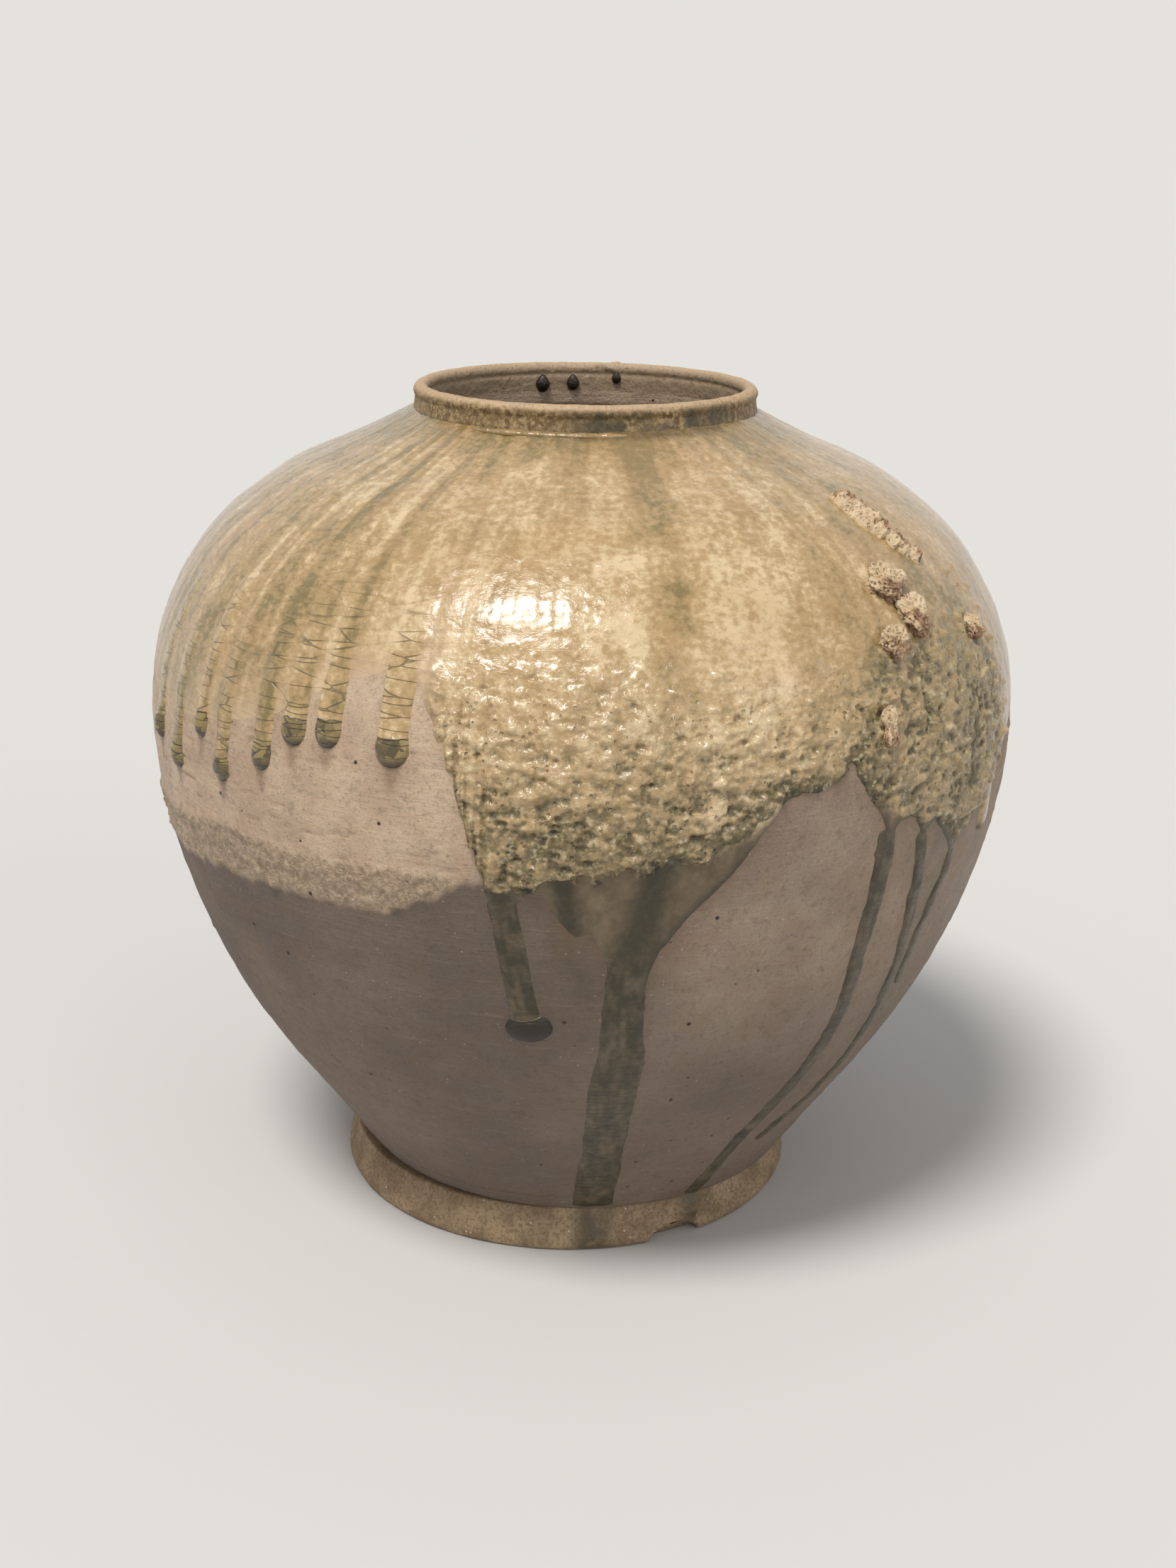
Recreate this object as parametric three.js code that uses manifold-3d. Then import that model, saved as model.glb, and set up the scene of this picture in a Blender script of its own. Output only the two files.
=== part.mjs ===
// A short-necked stoneware jar with natural ash glaze: coil-built clay pieces luted together, the
// glaze that the kiln laid on the shoulder, its runs with bead tips, and the kiln debris fused to it.
// Millimetres, +Z up. The origin is on the jar's axis, on the plane that the foot ring stands on.
// Angles are degrees round the axis from the front (-Y) towards +X.
import * as THREE from "three";
import { mergeVertices } from "three/addons/utils/BufferGeometryUtils.js";
import Module from "manifold-3d";

const wasm = await Module();
wasm.setup();

// Driving dimensions
const LIP_HEIGHT = 238;
const COLLAR_BASE = 229.5;
const BASE_TOP = 18;
const FOOT_HEIGHT = 12.5;
const FOOT_RADIUS = 68.5;
const FOOT_WIDTH = 10;
const FOOT_SHIFT = -3;
const MOUTH_RADIUS = 44.2;
const LIP_RADIUS = 2.15;
const LOWER_WALL = 7.5;
const UPPER_WALL = 5.5;
const GLAZE_THICKNESS = 0.7;
const GAP = 0.3;
const SEGMENTS = 52;

// The coiled belts of the wall, from the base up, with the facets that each one's profile has.
const BELTS = [
  { name: "lower_wall", from: BASE_TOP, to: 68, steps: 3 },
  { name: "middle_wall", from: 68, to: 118, steps: 3 },
  { name: "belly_wall", from: 118, to: 168, steps: 4 },
  { name: "shoulder_wall", from: 168, to: 205, steps: 3 },
  { name: "shoulder_top", from: 205, to: COLLAR_BASE, steps: 3 },
];
const GLAZED_BELTS = BELTS.slice(2);

// The clay body's outer profile from the foot joint to the neck joint, as radius and height. The
// widest place is a little above the middle, and the shoulder is rounder than the lower wall.
const BODY_KNOTS = [
  [66, 12.5],
  [80.2, 33.3],
  [98.3, 60],
  [112, 87],
  [121, 114.5],
  [125, 145],
  [121.2, 171],
  [108, 195.2],
  [86.5, 212.4],
  [63.6, 222.9],
  [50, 229.8],
];

// The lower edge of the shoulder glaze, as angle and height, once round the jar. It hangs in a deep
// V on the front, where the ash fell thickest, and climbs to the shoulder at the back.
const GLAZE_EDGE = [
  [-75, 157],
  [-60, 150],
  [-45, 157],
  [-30, 167],
  [-18, 168],
  [-12, 148],
  [-6, 136],
  [2, 132],
  [7, 121],
  [12, 127],
  [20, 146],
  [28, 154],
  [36, 146],
  [48, 136],
  [60, 140],
  [75, 156],
  [105, 173],
  [150, 186],
  [200, 189],
  [245, 176],
];

const CLAY = { color: 0x8a7463, roughness: 0.8 };
const FOOT_CLAY = { color: 0xb99c78, roughness: 0.85 };
const RIM_CLAY = { color: 0x9a7a62, roughness: 0.6 };
const ASH_GLAZE = { color: 0xb8a878, roughness: 0.3 };
const DARK_GLAZE = { color: 0x5c5a38, roughness: 0.25 };
const DEBRIS = { color: 0xa98d7c, roughness: 0.95 };

const jar = new THREE.Group();

// A closed mesh as a solid that can be joined and cut.
function solidOf(geometry) {
  const bare = geometry.clone();
  bare.deleteAttribute("normal");
  bare.deleteAttribute("uv");
  const merged = mergeVertices(bare, 1e-4);
  return new wasm.Manifold(
    new wasm.Mesh({
      numProp: 3,
      vertProperties: merged.attributes.position.array,
      triVerts: new Uint32Array(merged.index.array),
    }),
  );
}

// A solid back as a geometry with flat facets.
function geometryOf(solid) {
  const { vertProperties, triVerts } = solid.getMesh();
  const geometry = new THREE.BufferGeometry();
  geometry.setAttribute("position", new THREE.BufferAttribute(vertProperties, 3));
  geometry.setIndex(new THREE.BufferAttribute(triVerts, 1));
  const faceted = geometry.toNonIndexed();
  faceted.computeVertexNormals();
  return faceted;
}

function addPiece(name, geometry, finish) {
  const material = new THREE.MeshStandardMaterial({ metalness: 0, ...finish });
  const mesh = new THREE.Mesh(geometry, material);
  mesh.name = name;
  jar.add(mesh);
  return mesh;
}

// A profile of [radius, height] points turned about the Z axis.
function turned(points) {
  const profile = points.map(([radius, height]) => new THREE.Vector2(radius, height));
  return new THREE.LatheGeometry(profile, SEGMENTS).rotateX(Math.PI / 2);
}

// A smooth profile whose height only grows, which can be read by height.
class Profile {
  constructor(knots) {
    this.curve = new THREE.SplineCurve(knots.map(([r, z]) => new THREE.Vector2(r, z)));
  }

  parameterAt(height) {
    let low = 0;
    let high = 1;
    for (let i = 0; i < 40; i++) {
      const middle = (low + high) / 2;
      if (this.curve.getPoint(middle).y < height) low = middle;
      else high = middle;
    }
    return (low + high) / 2;
  }

  radiusAt(height) {
    return this.curve.getPoint(this.parameterAt(height)).x;
  }

  // The outward direction at a height, as [radial, vertical].
  normalAt(height) {
    const along = this.curve.getTangent(this.parameterAt(height));
    return [along.y, -along.x];
  }

  // Points from one height to another, spaced evenly along the curve, with exact end heights, or
  // all lifted off the curve along its outward direction.
  between(from, to, steps, lift = 0) {
    const start = this.parameterAt(from);
    const end = this.parameterAt(to);
    const points = [];
    for (let i = 0; i <= steps; i++) {
      const share = start + ((end - start) * i) / steps;
      const point = this.curve.getPoint(share);
      const along = this.curve.getTangent(share);
      points.push([point.x + lift * along.y, point.y - lift * along.x]);
    }
    if (lift === 0) {
      points[0][1] = from;
      points[steps][1] = to;
    }
    return points;
  }

  // This profile moved outwards by a distance, which may depend on the height.
  offset(distanceAt) {
    const steps = 24;
    const knots = [];
    for (let i = 0; i <= steps; i++) {
      const point = this.curve.getPoint(i / steps);
      const along = this.curve.getTangent(i / steps);
      const distance = distanceAt(point.y);
      knots.push([point.x + distance * along.y, point.y - distance * along.x]);
    }
    return new Profile(knots);
  }
}

const outer = new Profile(BODY_KNOTS);
const inner = outer.offset((height) => {
  const share = THREE.MathUtils.smoothstep(height, BASE_TOP, BELTS[2].from);
  return -THREE.MathUtils.lerp(LOWER_WALL, UPPER_WALL, share);
});

// A place on the clay wall, lifted off it along its outward direction.
function onWall(degrees, height, lift = 0) {
  const [radial, vertical] = outer.normalAt(height);
  const radius = outer.radiusAt(height) + lift * radial;
  const angle = THREE.MathUtils.degToRad(degrees);
  return new THREE.Vector3(
    radius * Math.sin(angle),
    -radius * Math.cos(angle),
    height + lift * vertical,
  );
}

// Foot: a ring thrown apart and luted on a little off centre, flared to a flat standing face, with
// one chip knocked out of its lower edge.
function footRing() {
  const inside = FOOT_RADIUS - FOOT_WIDTH;
  const topRadius = FOOT_RADIUS - 2.9;
  const profile = [
    [inside + 1.5, 0],
    [FOOT_RADIUS - 0.9, 0],
    [FOOT_RADIUS, 1.2],
    [FOOT_RADIUS - 0.6, 5],
    [topRadius, FOOT_HEIGHT],
    [inside - 0.5, FOOT_HEIGHT],
    [inside, 3],
    [inside + 1.5, 0],
  ];
  const ring = solidOf(turned(profile));
  const chip = new THREE.IcosahedronGeometry(5, 1).scale(1.5, 0.8, 0.55);
  const angle = THREE.MathUtils.degToRad(30);
  chip.rotateZ(angle).translate(
    (FOOT_RADIUS + 1.6) * Math.sin(angle),
    -(FOOT_RADIUS + 1.6) * Math.cos(angle),
    0.4,
  );
  const mesh = addPiece("foot_ring", geometryOf(ring.subtract(solidOf(chip))), FOOT_CLAY);
  mesh.position.x = FOOT_SHIFT;
}

// Base: the disc that the wall is built on, dished inside and trimmed flat below.
function baseDisc() {
  const dish = 1.8;
  const profile = [
    [0, FOOT_HEIGHT],
    ...outer.between(FOOT_HEIGHT, BASE_TOP, 1),
    [inner.radiusAt(BASE_TOP), BASE_TOP],
    [inner.radiusAt(BASE_TOP) - 3, BASE_TOP - 0.6],
    [30, BASE_TOP - dish * 0.8],
    [0, BASE_TOP - dish],
  ];
  addPiece("base_disc", turned(profile), CLAY);
}

// The outer wall line over some belts, lifted off the clay, with the same facets as the belts.
function wallLine(belts, lift) {
  const pieces = belts.map(({ from, to, steps }) => outer.between(from, to, steps, lift));
  return pieces.flatMap((points, i) => (i === 0 ? points : points.slice(1)));
}

// Wall: belts of coiled clay, each joined to the next on a flat seam. The last one closes in to the
// opening that the neck sits on, with its edge rounded over inside.
function wallBelts() {
  const innerTop = 218;
  const mouthEdge = [
    [MOUTH_RADIUS + 0.4, COLLAR_BASE],
    [MOUTH_RADIUS + 1.2, COLLAR_BASE - 3],
    [MOUTH_RADIUS + 4, COLLAR_BASE - 6],
  ];
  BELTS.forEach(({ name, from, to, steps }) => {
    const isLast = to === COLLAR_BASE;
    const profile = [
      ...outer.between(from, to, steps),
      ...(isLast ? mouthEdge : []),
      ...inner.between(isLast ? innerTop : to, from, steps - 1),
    ];
    addPiece(name, turned([...profile, profile[0]]), CLAY);
  });
}

// Neck: a short collar with a rounded, slightly everted lip.
function neckCollar() {
  const lipCentre = [MOUTH_RADIUS + LIP_RADIUS, LIP_HEIGHT - LIP_RADIUS];
  const profile = [
    [MOUTH_RADIUS + 0.4, COLLAR_BASE],
    [outer.radiusAt(COLLAR_BASE), COLLAR_BASE],
    [48.4, COLLAR_BASE + 1.4],
    [47.7, COLLAR_BASE + 3.6],
  ];
  const arcSteps = 6;
  for (let i = 0; i <= arcSteps; i++) {
    const turn = THREE.MathUtils.degToRad(-30 + (240 * i) / arcSteps);
    profile.push([
      lipCentre[0] + LIP_RADIUS * Math.cos(turn),
      lipCentre[1] + LIP_RADIUS * Math.sin(turn),
    ]);
  }
  profile.push([MOUTH_RADIUS + 0.1, COLLAR_BASE + 3.4]);
  addPiece("neck_collar", turned([...profile, profile[0]]), RIM_CLAY);
}

// The glaze edge's height at an angle, smooth and closed on itself.
function glazeEdgeAt(degrees) {
  const angle = ((((degrees + 75) % 360) + 360) % 360) - 75;
  const count = GLAZE_EDGE.length;
  let i = count - 1;
  while (GLAZE_EDGE[i][0] > angle) i--;
  const [fromAngle, fromHeight] = GLAZE_EDGE[i];
  const [toAngle, toHeight] = GLAZE_EDGE[(i + 1) % count];
  const span = i + 1 < count ? toAngle - fromAngle : toAngle + 360 - fromAngle;
  return THREE.MathUtils.lerp(fromHeight, toHeight, (angle - fromAngle) / span);
}

// Everything below the glaze edge, as a drum whose top follows the edge's height.
function belowGlaze(drop) {
  const drumRadius = 140;
  const floor = 90;
  const middle = 150;
  const drum = new THREE.CylinderGeometry(drumRadius, drumRadius, 1, 120).rotateX(Math.PI / 2);
  const position = drum.attributes.position;
  for (let i = 0; i < position.count; i++) {
    const x = position.getX(i);
    const y = position.getY(i);
    const radius = Math.hypot(x, y);
    const edge = glazeEdgeAt(THREE.MathUtils.radToDeg(Math.atan2(x, -y))) - drop;
    const reach = radius / outer.radiusAt(edge);
    const top = radius < 1 ? middle : middle + (edge - middle) * reach;
    position.setZ(i, position.getZ(i) > 0 ? top : floor);
  }
  return solidOf(drum);
}

// A drum from the axis out to just clear of the neck's foot.
function neckDrum() {
  const radius = outer.radiusAt(COLLAR_BASE) + GAP;
  return solidOf(turned([[0, 225], [radius, 225], [radius, LIP_HEIGHT], [0, LIP_HEIGHT]]));
}

// The shoulder glaze, a shell over the clay from the neck joint down to the glaze edge.
function glazeShell() {
  const under = wallLine(GLAZED_BELTS, GAP).reverse();
  const over = wallLine(GLAZED_BELTS, GAP + GLAZE_THICKNESS);
  const shell = solidOf(turned([...over, ...under, over[0]]));
  return shell.subtract(belowGlaze(0)).subtract(neckDrum());
}

// Clay and glaze grown by the gap, from the axis out: what sits on the wall is cut to this. Its
// facets follow the wall's own, so the gap is the same everywhere.
function bedding() {
  const clay = [...outer.between(FOOT_HEIGHT, BASE_TOP, 1, GAP), ...wallLine(BELTS, GAP).slice(1)];
  const glaze = wallLine(GLAZED_BELTS, 2 * GAP + GLAZE_THICKNESS);
  const clayCore = turned([[0, FOOT_HEIGHT], ...clay, [0, COLLAR_BASE]]);
  const glazeCore = turned([[0, GLAZED_BELTS[0].from], ...glaze, [0, COLLAR_BASE]]);
  return solidOf(clayCore).add(solidOf(glazeCore).subtract(belowGlaze(GAP)));
}

const seat = bedding();

// A thickness of glass that follows a route of [angle, height] places on the wall: a round tube
// sunk so far into the clay that only a lens of the wanted width and height stands out of it.
function runAlong(route, width, height) {
  const radius = (width * width) / (8 * height) + height / 2;
  const path = new THREE.CatmullRomCurve3(
    route.map(([degrees, z]) => onWall(degrees, z, GAP + height - radius)),
  );
  const section = new THREE.Shape();
  section.absarc(0, 0, radius, 0, Math.PI * 2, false);
  const geometry = new THREE.ExtrudeGeometry(section, {
    steps: Math.max(3, Math.round(path.getLength() / 12)),
    curveSegments: 12,
    bevelEnabled: false,
    extrudePath: path,
  });
  return solidOf(geometry);
}

// A blob on the wall, with its width round the jar, its length up the wall and how far it stands out.
function blobAt(degrees, height, width, length, standing, detail = 10) {
  const blob = new THREE.SphereGeometry(1, detail, Math.round(detail * 0.7));
  blob.scale(width / 2, standing, length / 2);
  const [radial, vertical] = outer.normalAt(height);
  blob.rotateX(-Math.atan2(vertical, radial));
  blob.rotateZ(THREE.MathUtils.degToRad(degrees));
  const place = onWall(degrees, height, GAP + standing * 0.15);
  return solidOf(blob.translate(place.x, place.y, place.z));
}

function addOnWall(name, solid, finish) {
  addPiece(name, geometryOf(solid.subtract(seat)), finish);
}

// Short drips on the left, each a run out of the glaze edge with a dark bead at its tip.
function leftDrips() {
  const tips = [
    [-67, 146, 7],
    [-59.5, 142.4, 6.5],
    [-52.8, 154.7, 5.5],
    [-47.9, 145.4, 6.5],
    [-40.5, 152.2, 6.5],
    [-35.7, 160.6, 7.5],
    [-30.7, 161.7, 7.5],
    [-22, 159.7, 9],
  ];
  tips.forEach(([degrees, tip, width], i) => {
    const beadLength = 8;
    const run = runAlong(
      [
        [degrees, tip + beadLength / 2],
        [degrees, tip + 11],
        [degrees, tip + 18],
      ],
      width * 0.75,
      2.1,
    );
    const bead = blobAt(degrees, tip + beadLength / 2, width, beadLength, 2.6);
    addOnWall(`left_drip_${i + 1}`, run.add(bead), DARK_GLAZE);
  });
}

// The long runs on the front and the right side.
function longRuns() {
  const centreLeft = runAlong([[-10, 140], [-8.9, 123.7], [-6.6, 105], [-6.1, 90]], 7, 1.5);
  const centreBead = blobAt(-6.1, 90, 12.5, 10, 3.4, 12);
  addOnWall("centre_left_run", centreLeft.add(centreBead), DARK_GLAZE);

  const centre = runAlong([[6.5, 127], [5.6, 100], [4.9, 75], [5, 55], [4.6, 33], [4.4, 20]], 11.5, 1.6);
  addOnWall("centre_run", centre, DARK_GLAZE);

  const rightRoutes = [
    [[38, 147], [38.4, 122], [38.8, 90], [35.6, 66], [33.6, 42], [30.8, 22]],
    [[44.5, 139], [47, 110], [47.8, 85], [46.6, 57], [44.7, 46]],
    [[51, 138], [53.3, 109], [54.8, 94], [56.5, 83]],
  ];
  rightRoutes.forEach((route, i) => {
    const run = runAlong(route, 5.8 - 0.4 * i, 1.6);
    addOnWall(`right_run_${i + 1}`, run, DARK_GLAZE);
  });

  const sideRun = runAlong([[61.6, 156], [61.8, 143], [62.4, 128]], 8, 2);
  addOnWall("right_side_run", sideRun, ASH_GLAZE);
}

// A rough lump: a ball with its points pushed in and out by a steady rule.
function lumpAt(degrees, height, width, length, standing, seed) {
  const lump = new THREE.IcosahedronGeometry(1, 1);
  const position = lump.attributes.position;
  for (let i = 0; i < position.count; i++) {
    const point = new THREE.Vector3().fromBufferAttribute(position, i);
    const push =
      Math.sin(3.1 * point.x + seed) * Math.sin(4.3 * point.y + 2 * seed) +
      Math.sin(5.2 * point.z + 3 * seed);
    point.multiplyScalar(1 + 0.12 * push);
    position.setXYZ(i, point.x, point.y, point.z);
  }
  lump.scale(width / 2, standing, length / 2);
  const [radial, vertical] = outer.normalAt(height);
  lump.rotateX(-Math.atan2(vertical, radial));
  lump.rotateZ(THREE.MathUtils.degToRad(degrees));
  const place = onWall(degrees, height, GAP + GLAZE_THICKNESS);
  return solidOf(lump.translate(place.x, place.y, place.z));
}

// Scraps of kiln wall that fell on the shoulder while the glaze was soft.
function kilnDebris() {
  const strip = [
    [53.6, 214.8, 9, 11],
    [54.6, 210.6, 10, 12],
    [56, 206, 9, 12],
    [57.8, 201.4, 7, 9],
  ];
  const stripSolid = strip
    .map(([degrees, z, width, length], i) => lumpAt(degrees, z, width, length, 3.2, i + 1))
    .reduce((whole, lump) => whole.add(lump));
  addOnWall("debris_strip", stripSolid, DEBRIS);

  const lumps = [
    [45.6, 197.6, 9, 7],
    [47, 190, 8, 7],
    [42.1, 185.8, 7, 6],
    [61.8, 182, 5, 5],
    [38.5, 166.5, 5, 9],
  ];
  lumps.forEach(([degrees, z, width, length], i) => {
    addOnWall(`debris_lump_${i + 1}`, lumpAt(degrees, z, width, length, 2.6, i + 5), DEBRIS);
  });
}

// The glass that pooled in the crease between the neck and the shoulder, on the front.
function creasePool() {
  const radius = 51;
  const turns = [-38, -24, -10, 4, 16];
  const path = new THREE.CatmullRomCurve3(
    turns.map((degrees) => {
      const angle = THREE.MathUtils.degToRad(degrees);
      return new THREE.Vector3(radius * Math.sin(angle), -radius * Math.cos(angle), 230.2);
    }),
  );
  const section = new THREE.Shape();
  section.absarc(0, 0, 1.7, 0, Math.PI * 2, false);
  const pool = new THREE.ExtrudeGeometry(section, {
    steps: 10,
    curveSegments: 8,
    bevelEnabled: false,
    extrudePath: path,
  });
  addOnWall("crease_pool", solidOf(pool).subtract(neckDrum()), DARK_GLAZE);
}

// Dark drops that ran down the inside of the neck at the back.
function innerDrops() {
  const places = [
    [-163, 231.6],
    [-175, 231.8],
    [168, 233.4],
  ];
  const core = solidOf(turned([[0, 200], [MOUTH_RADIUS - GAP, 200], [MOUTH_RADIUS - GAP, 236], [0, 236]]));
  places.forEach(([degrees, z], i) => {
    const angle = THREE.MathUtils.degToRad(degrees);
    const drop = new THREE.SphereGeometry(1, 8, 6).scale(1.9, 1.5, 2.6);
    drop.rotateZ(angle);
    drop.translate(MOUTH_RADIUS * Math.sin(angle), -MOUTH_RADIUS * Math.cos(angle), z);
    addPiece(`inner_drop_${i + 1}`, geometryOf(solidOf(drop).intersect(core)), DARK_GLAZE);
  });
}

footRing();
baseDisc();
wallBelts();
neckCollar();
addPiece("shoulder_glaze", geometryOf(glazeShell()), ASH_GLAZE);
creasePool();
leftDrips();
longRuns();
innerDrops();
kilnDebris();

export default jar;
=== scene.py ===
# The looks of a short-necked stoneware jar with natural ash glaze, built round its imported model.
import math

import bmesh
import bpy
import numpy as np
from mathutils import Matrix, Vector


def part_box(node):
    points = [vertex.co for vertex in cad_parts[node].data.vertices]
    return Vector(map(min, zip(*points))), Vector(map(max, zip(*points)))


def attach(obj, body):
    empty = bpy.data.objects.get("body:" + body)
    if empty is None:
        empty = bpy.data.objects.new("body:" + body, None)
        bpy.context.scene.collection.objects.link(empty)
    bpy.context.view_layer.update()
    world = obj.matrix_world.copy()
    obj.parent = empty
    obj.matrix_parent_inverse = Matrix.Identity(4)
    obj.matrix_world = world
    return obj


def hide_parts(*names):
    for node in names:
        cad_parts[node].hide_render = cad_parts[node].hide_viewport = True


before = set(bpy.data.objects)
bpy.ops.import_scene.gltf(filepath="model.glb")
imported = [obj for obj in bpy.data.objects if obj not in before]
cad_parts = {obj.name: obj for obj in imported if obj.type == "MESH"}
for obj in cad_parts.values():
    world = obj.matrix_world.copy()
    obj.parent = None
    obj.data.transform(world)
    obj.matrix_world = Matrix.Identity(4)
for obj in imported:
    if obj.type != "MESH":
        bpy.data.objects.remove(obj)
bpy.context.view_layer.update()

MM = 0.001

# Heights of the clay pieces, read from the imported model, in millimetres like every size below
FOOT_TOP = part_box("foot_ring")[1].z / MM
BASE_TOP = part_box("base_disc")[1].z / MM
COLLAR_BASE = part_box("neck_collar")[0].z / MM
LIP_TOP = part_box("neck_collar")[1].z / MM
BELT_NAMES = ("lower_wall", "middle_wall", "belly_wall", "shoulder_wall", "shoulder_top")
BELT_TOPS = {name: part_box(name)[1].z / MM for name in BELT_NAMES}

# The clay body's outer profile from the foot joint to the neck joint, as radius and height. Its last
# point is where the glaze laps up against the neck.
BODY_KNOTS = (
    (66, 12.5), (80.2, 33.3), (98.3, 60), (112, 87), (121, 114.5), (125, 145),
    (121.2, 171), (108, 195.2), (86.5, 212.4), (63.6, 222.9), (50, 229.8), (47.3, 231.3),
)
BELLY_RADIUS = 125
FOOT_RADIUS = 68.5
FOOT_WIDTH = 10
FOOT_SHIFT = -3
COLLAR_RADIUS = 46
MOUTH_RADIUS = 44.2
LIP_RADIUS = 2.15
WALL_THICKNESS = (7.5, 5.5)
THIN_FROM = 118

# The lower edge of the shoulder glaze, as angle from the front towards +X and height
GLAZE_EDGE = (
    (-95, 164), (-75, 160), (-64, 157), (-57, 159), (-50, 161), (-44, 164), (-38.5, 168), (-34, 174),
    (-29.5, 179), (-26, 181), (-21.5, 183), (-19.3, 179), (-16, 168), (-14.2, 158), (-12.6, 148),
    (-11.2, 138), (-10.4, 129), (-8.8, 124), (-6.6, 129), (-4.2, 131), (-2.4, 124), (-0.5, 119),
    (1.6, 120), (3.2, 112), (4.2, 104), (5.6, 98), (7.4, 100), (8.4, 107), (9.5, 114), (12, 122),
    (15, 129.3), (18, 135.5), (21, 144.7), (24.3, 153.5), (28, 153.5), (31, 156), (33.3, 159),
    (35.3, 151), (37.6, 144), (39.3, 137), (41.2, 141), (43.6, 141), (45.6, 135), (48, 138),
    (51, 131), (53.4, 125), (56, 130), (59.5, 136), (64, 139), (70, 149), (80, 159), (105, 173),
    (150, 186), (200, 189), (240, 176),
)

# Where the half-melted ash ends and the glaze below it is a thin dark film, in the same terms
COARSE_EDGE = (
    (-30, 168), (-19, 168), (-15, 158), (-12.6, 142), (-11.1, 132), (-6.7, 130.5), (-2.4, 134),
    (2, 136.5), (6.3, 136.5), (10.6, 139), (15, 139.5), (18, 144), (22, 151), (27, 151), (33, 150),
    (38, 146), (42, 140), (47, 137), (54, 131), (60, 134), (66, 140), (75, 150),
)

# Short drips on the left: angle, height of the bead's tip, width of the bead
LEFT_DRIPS = (
    (-67, 146, 6.5), (-59.5, 142.4, 6), (-52.8, 154.7, 5.2), (-47.9, 145.4, 6.2),
    (-40.5, 152.2, 6.6), (-35.7, 160.6, 8), (-30.7, 161.7, 7.6), (-22, 159.7, 9),
)

rng = np.random.default_rng(26)


# Noise

def lattice(ix, iy, iz, seed):
    """A random value from -1 to 1 at each whole-numbered place, from products that wrap round."""
    with np.errstate(over="ignore"):
        h = ix * 73856093 ^ iy * 19349663 ^ iz * 83492791 ^ (seed * 2654435761 & 0x7FFFFFFF)
        h = (h ^ (h >> 13)) * 1274126177 & 0x7FFFFFFF
        h = (h ^ (h >> 16)) * 668265263 & 0x7FFFFFFF
    return (h & 0xFFFF) / 32767.5 - 1


def noise(x, y, z, seed):
    """Smooth noise from -1 to 1 with a cell of one unit."""
    x, y, z = np.broadcast_arrays(x, y, z)
    fx, fy, fz = np.floor(x), np.floor(y), np.floor(z)
    ix, iy, iz = fx.astype(np.int64), fy.astype(np.int64), fz.astype(np.int64)
    u, v, w = (t * t * t * (t * (t * 6 - 15) + 10) for t in (x - fx, y - fy, z - fz))
    total = 0
    for dx, wx in ((0, 1 - u), (1, u)):
        for dy, wy in ((0, 1 - v), (1, v)):
            for dz, wz in ((0, 1 - w), (1, w)):
                total = total + wx * wy * wz * lattice(ix + dx, iy + dy, iz + dz, seed)
    return total


def fbm(x, y, z, octaves, seed):
    """Noise in octaves, each half the size and height of the one before."""
    total, size = 0, 1
    for octave in range(octaves):
        total = total + noise(x / size, y / size, z / size, seed + octave) * size
        size /= 2
    return total / (2 - 2 * size)


def smooth(low, high, value):
    """A soft step from 0 at low to 1 at high."""
    t = np.clip((value - low) / (high - low), 0, 1)
    return t * t * (3 - 2 * t)


def window(value, low, in_low, in_high, high):
    """1 between the inner limits, 0 outside the outer ones, and soft between them."""
    return smooth(low, in_low, value) * (1 - smooth(in_high, high, value))


def bell(value, centre, width, power=2):
    """A soft hump of height 1 round a centre, steeper at its sides with a higher power."""
    return np.exp(-(((value - centre) / width) ** power))


def soft_max(a, b, blend):
    """The larger value, with the corner where they cross rounded off."""
    t = np.clip(0.5 + 0.5 * (a - b) / blend, 0, 1)
    return b + (a - b) * t + blend * t * (1 - t)


# The wall line and places on it

def through(knots, per_span=40):
    """A smooth line through the knots."""
    k = np.array(knots, float)
    k = np.vstack([k[:1], k, k[-1:]])
    t = np.linspace(0, 1, per_span, endpoint=False)[:, None]
    parts = []
    for p0, p1, p2, p3 in zip(k, k[1:], k[2:], k[3:]):
        v0, v1 = (p2 - p0) / 2, (p3 - p1) / 2
        parts.append(
            (2 * p1 - 2 * p2 + v0 + v1) * t**3 + (3 * p2 - 3 * p1 - 2 * v0 - v1) * t**2 + v0 * t + p1
        )
    return np.vstack(parts + [k[-1:]])


WALL = through(BODY_KNOTS)
ARC = np.concatenate([[0], np.cumsum(np.hypot(*np.diff(WALL, axis=0).T))])
ALONG = np.gradient(WALL, ARC, axis=0)


def arc_at(z):
    return np.interp(z, WALL[:, 1], ARC)


def height_at(s):
    return np.interp(s, ARC, WALL[:, 1])


def radius_at(s):
    return np.interp(s, ARC, WALL[:, 0])


def place(a, s, lift):
    """Points on the wall at angles in degrees and arc lengths up the wall, lifted off it."""
    radius = radius_at(s) + lift * np.interp(s, ARC, ALONG[:, 1])
    z = height_at(s) - lift * np.interp(s, ARC, ALONG[:, 0])
    return ring_at(np.radians(a), radius, z)


def around(a, size):
    """The angle as two coordinates of a circle, so that noise read by angle closes on itself."""
    angle = np.radians(a)
    return np.cos(angle) * size, np.sin(angle) * size


def fold(a):
    """An angle brought within half a turn of the front."""
    return (a + 180) % 360 - 180


def ring_at(angle, radius, z):
    """Points at angles in radians round the axis."""
    return np.stack([radius * np.sin(angle), -radius * np.cos(angle), z], -1)


def sideways(a, centre, s):
    """Millimetres round the jar from a central angle."""
    return np.radians(a - centre) * radius_at(s)


# Relief of the clay

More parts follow.
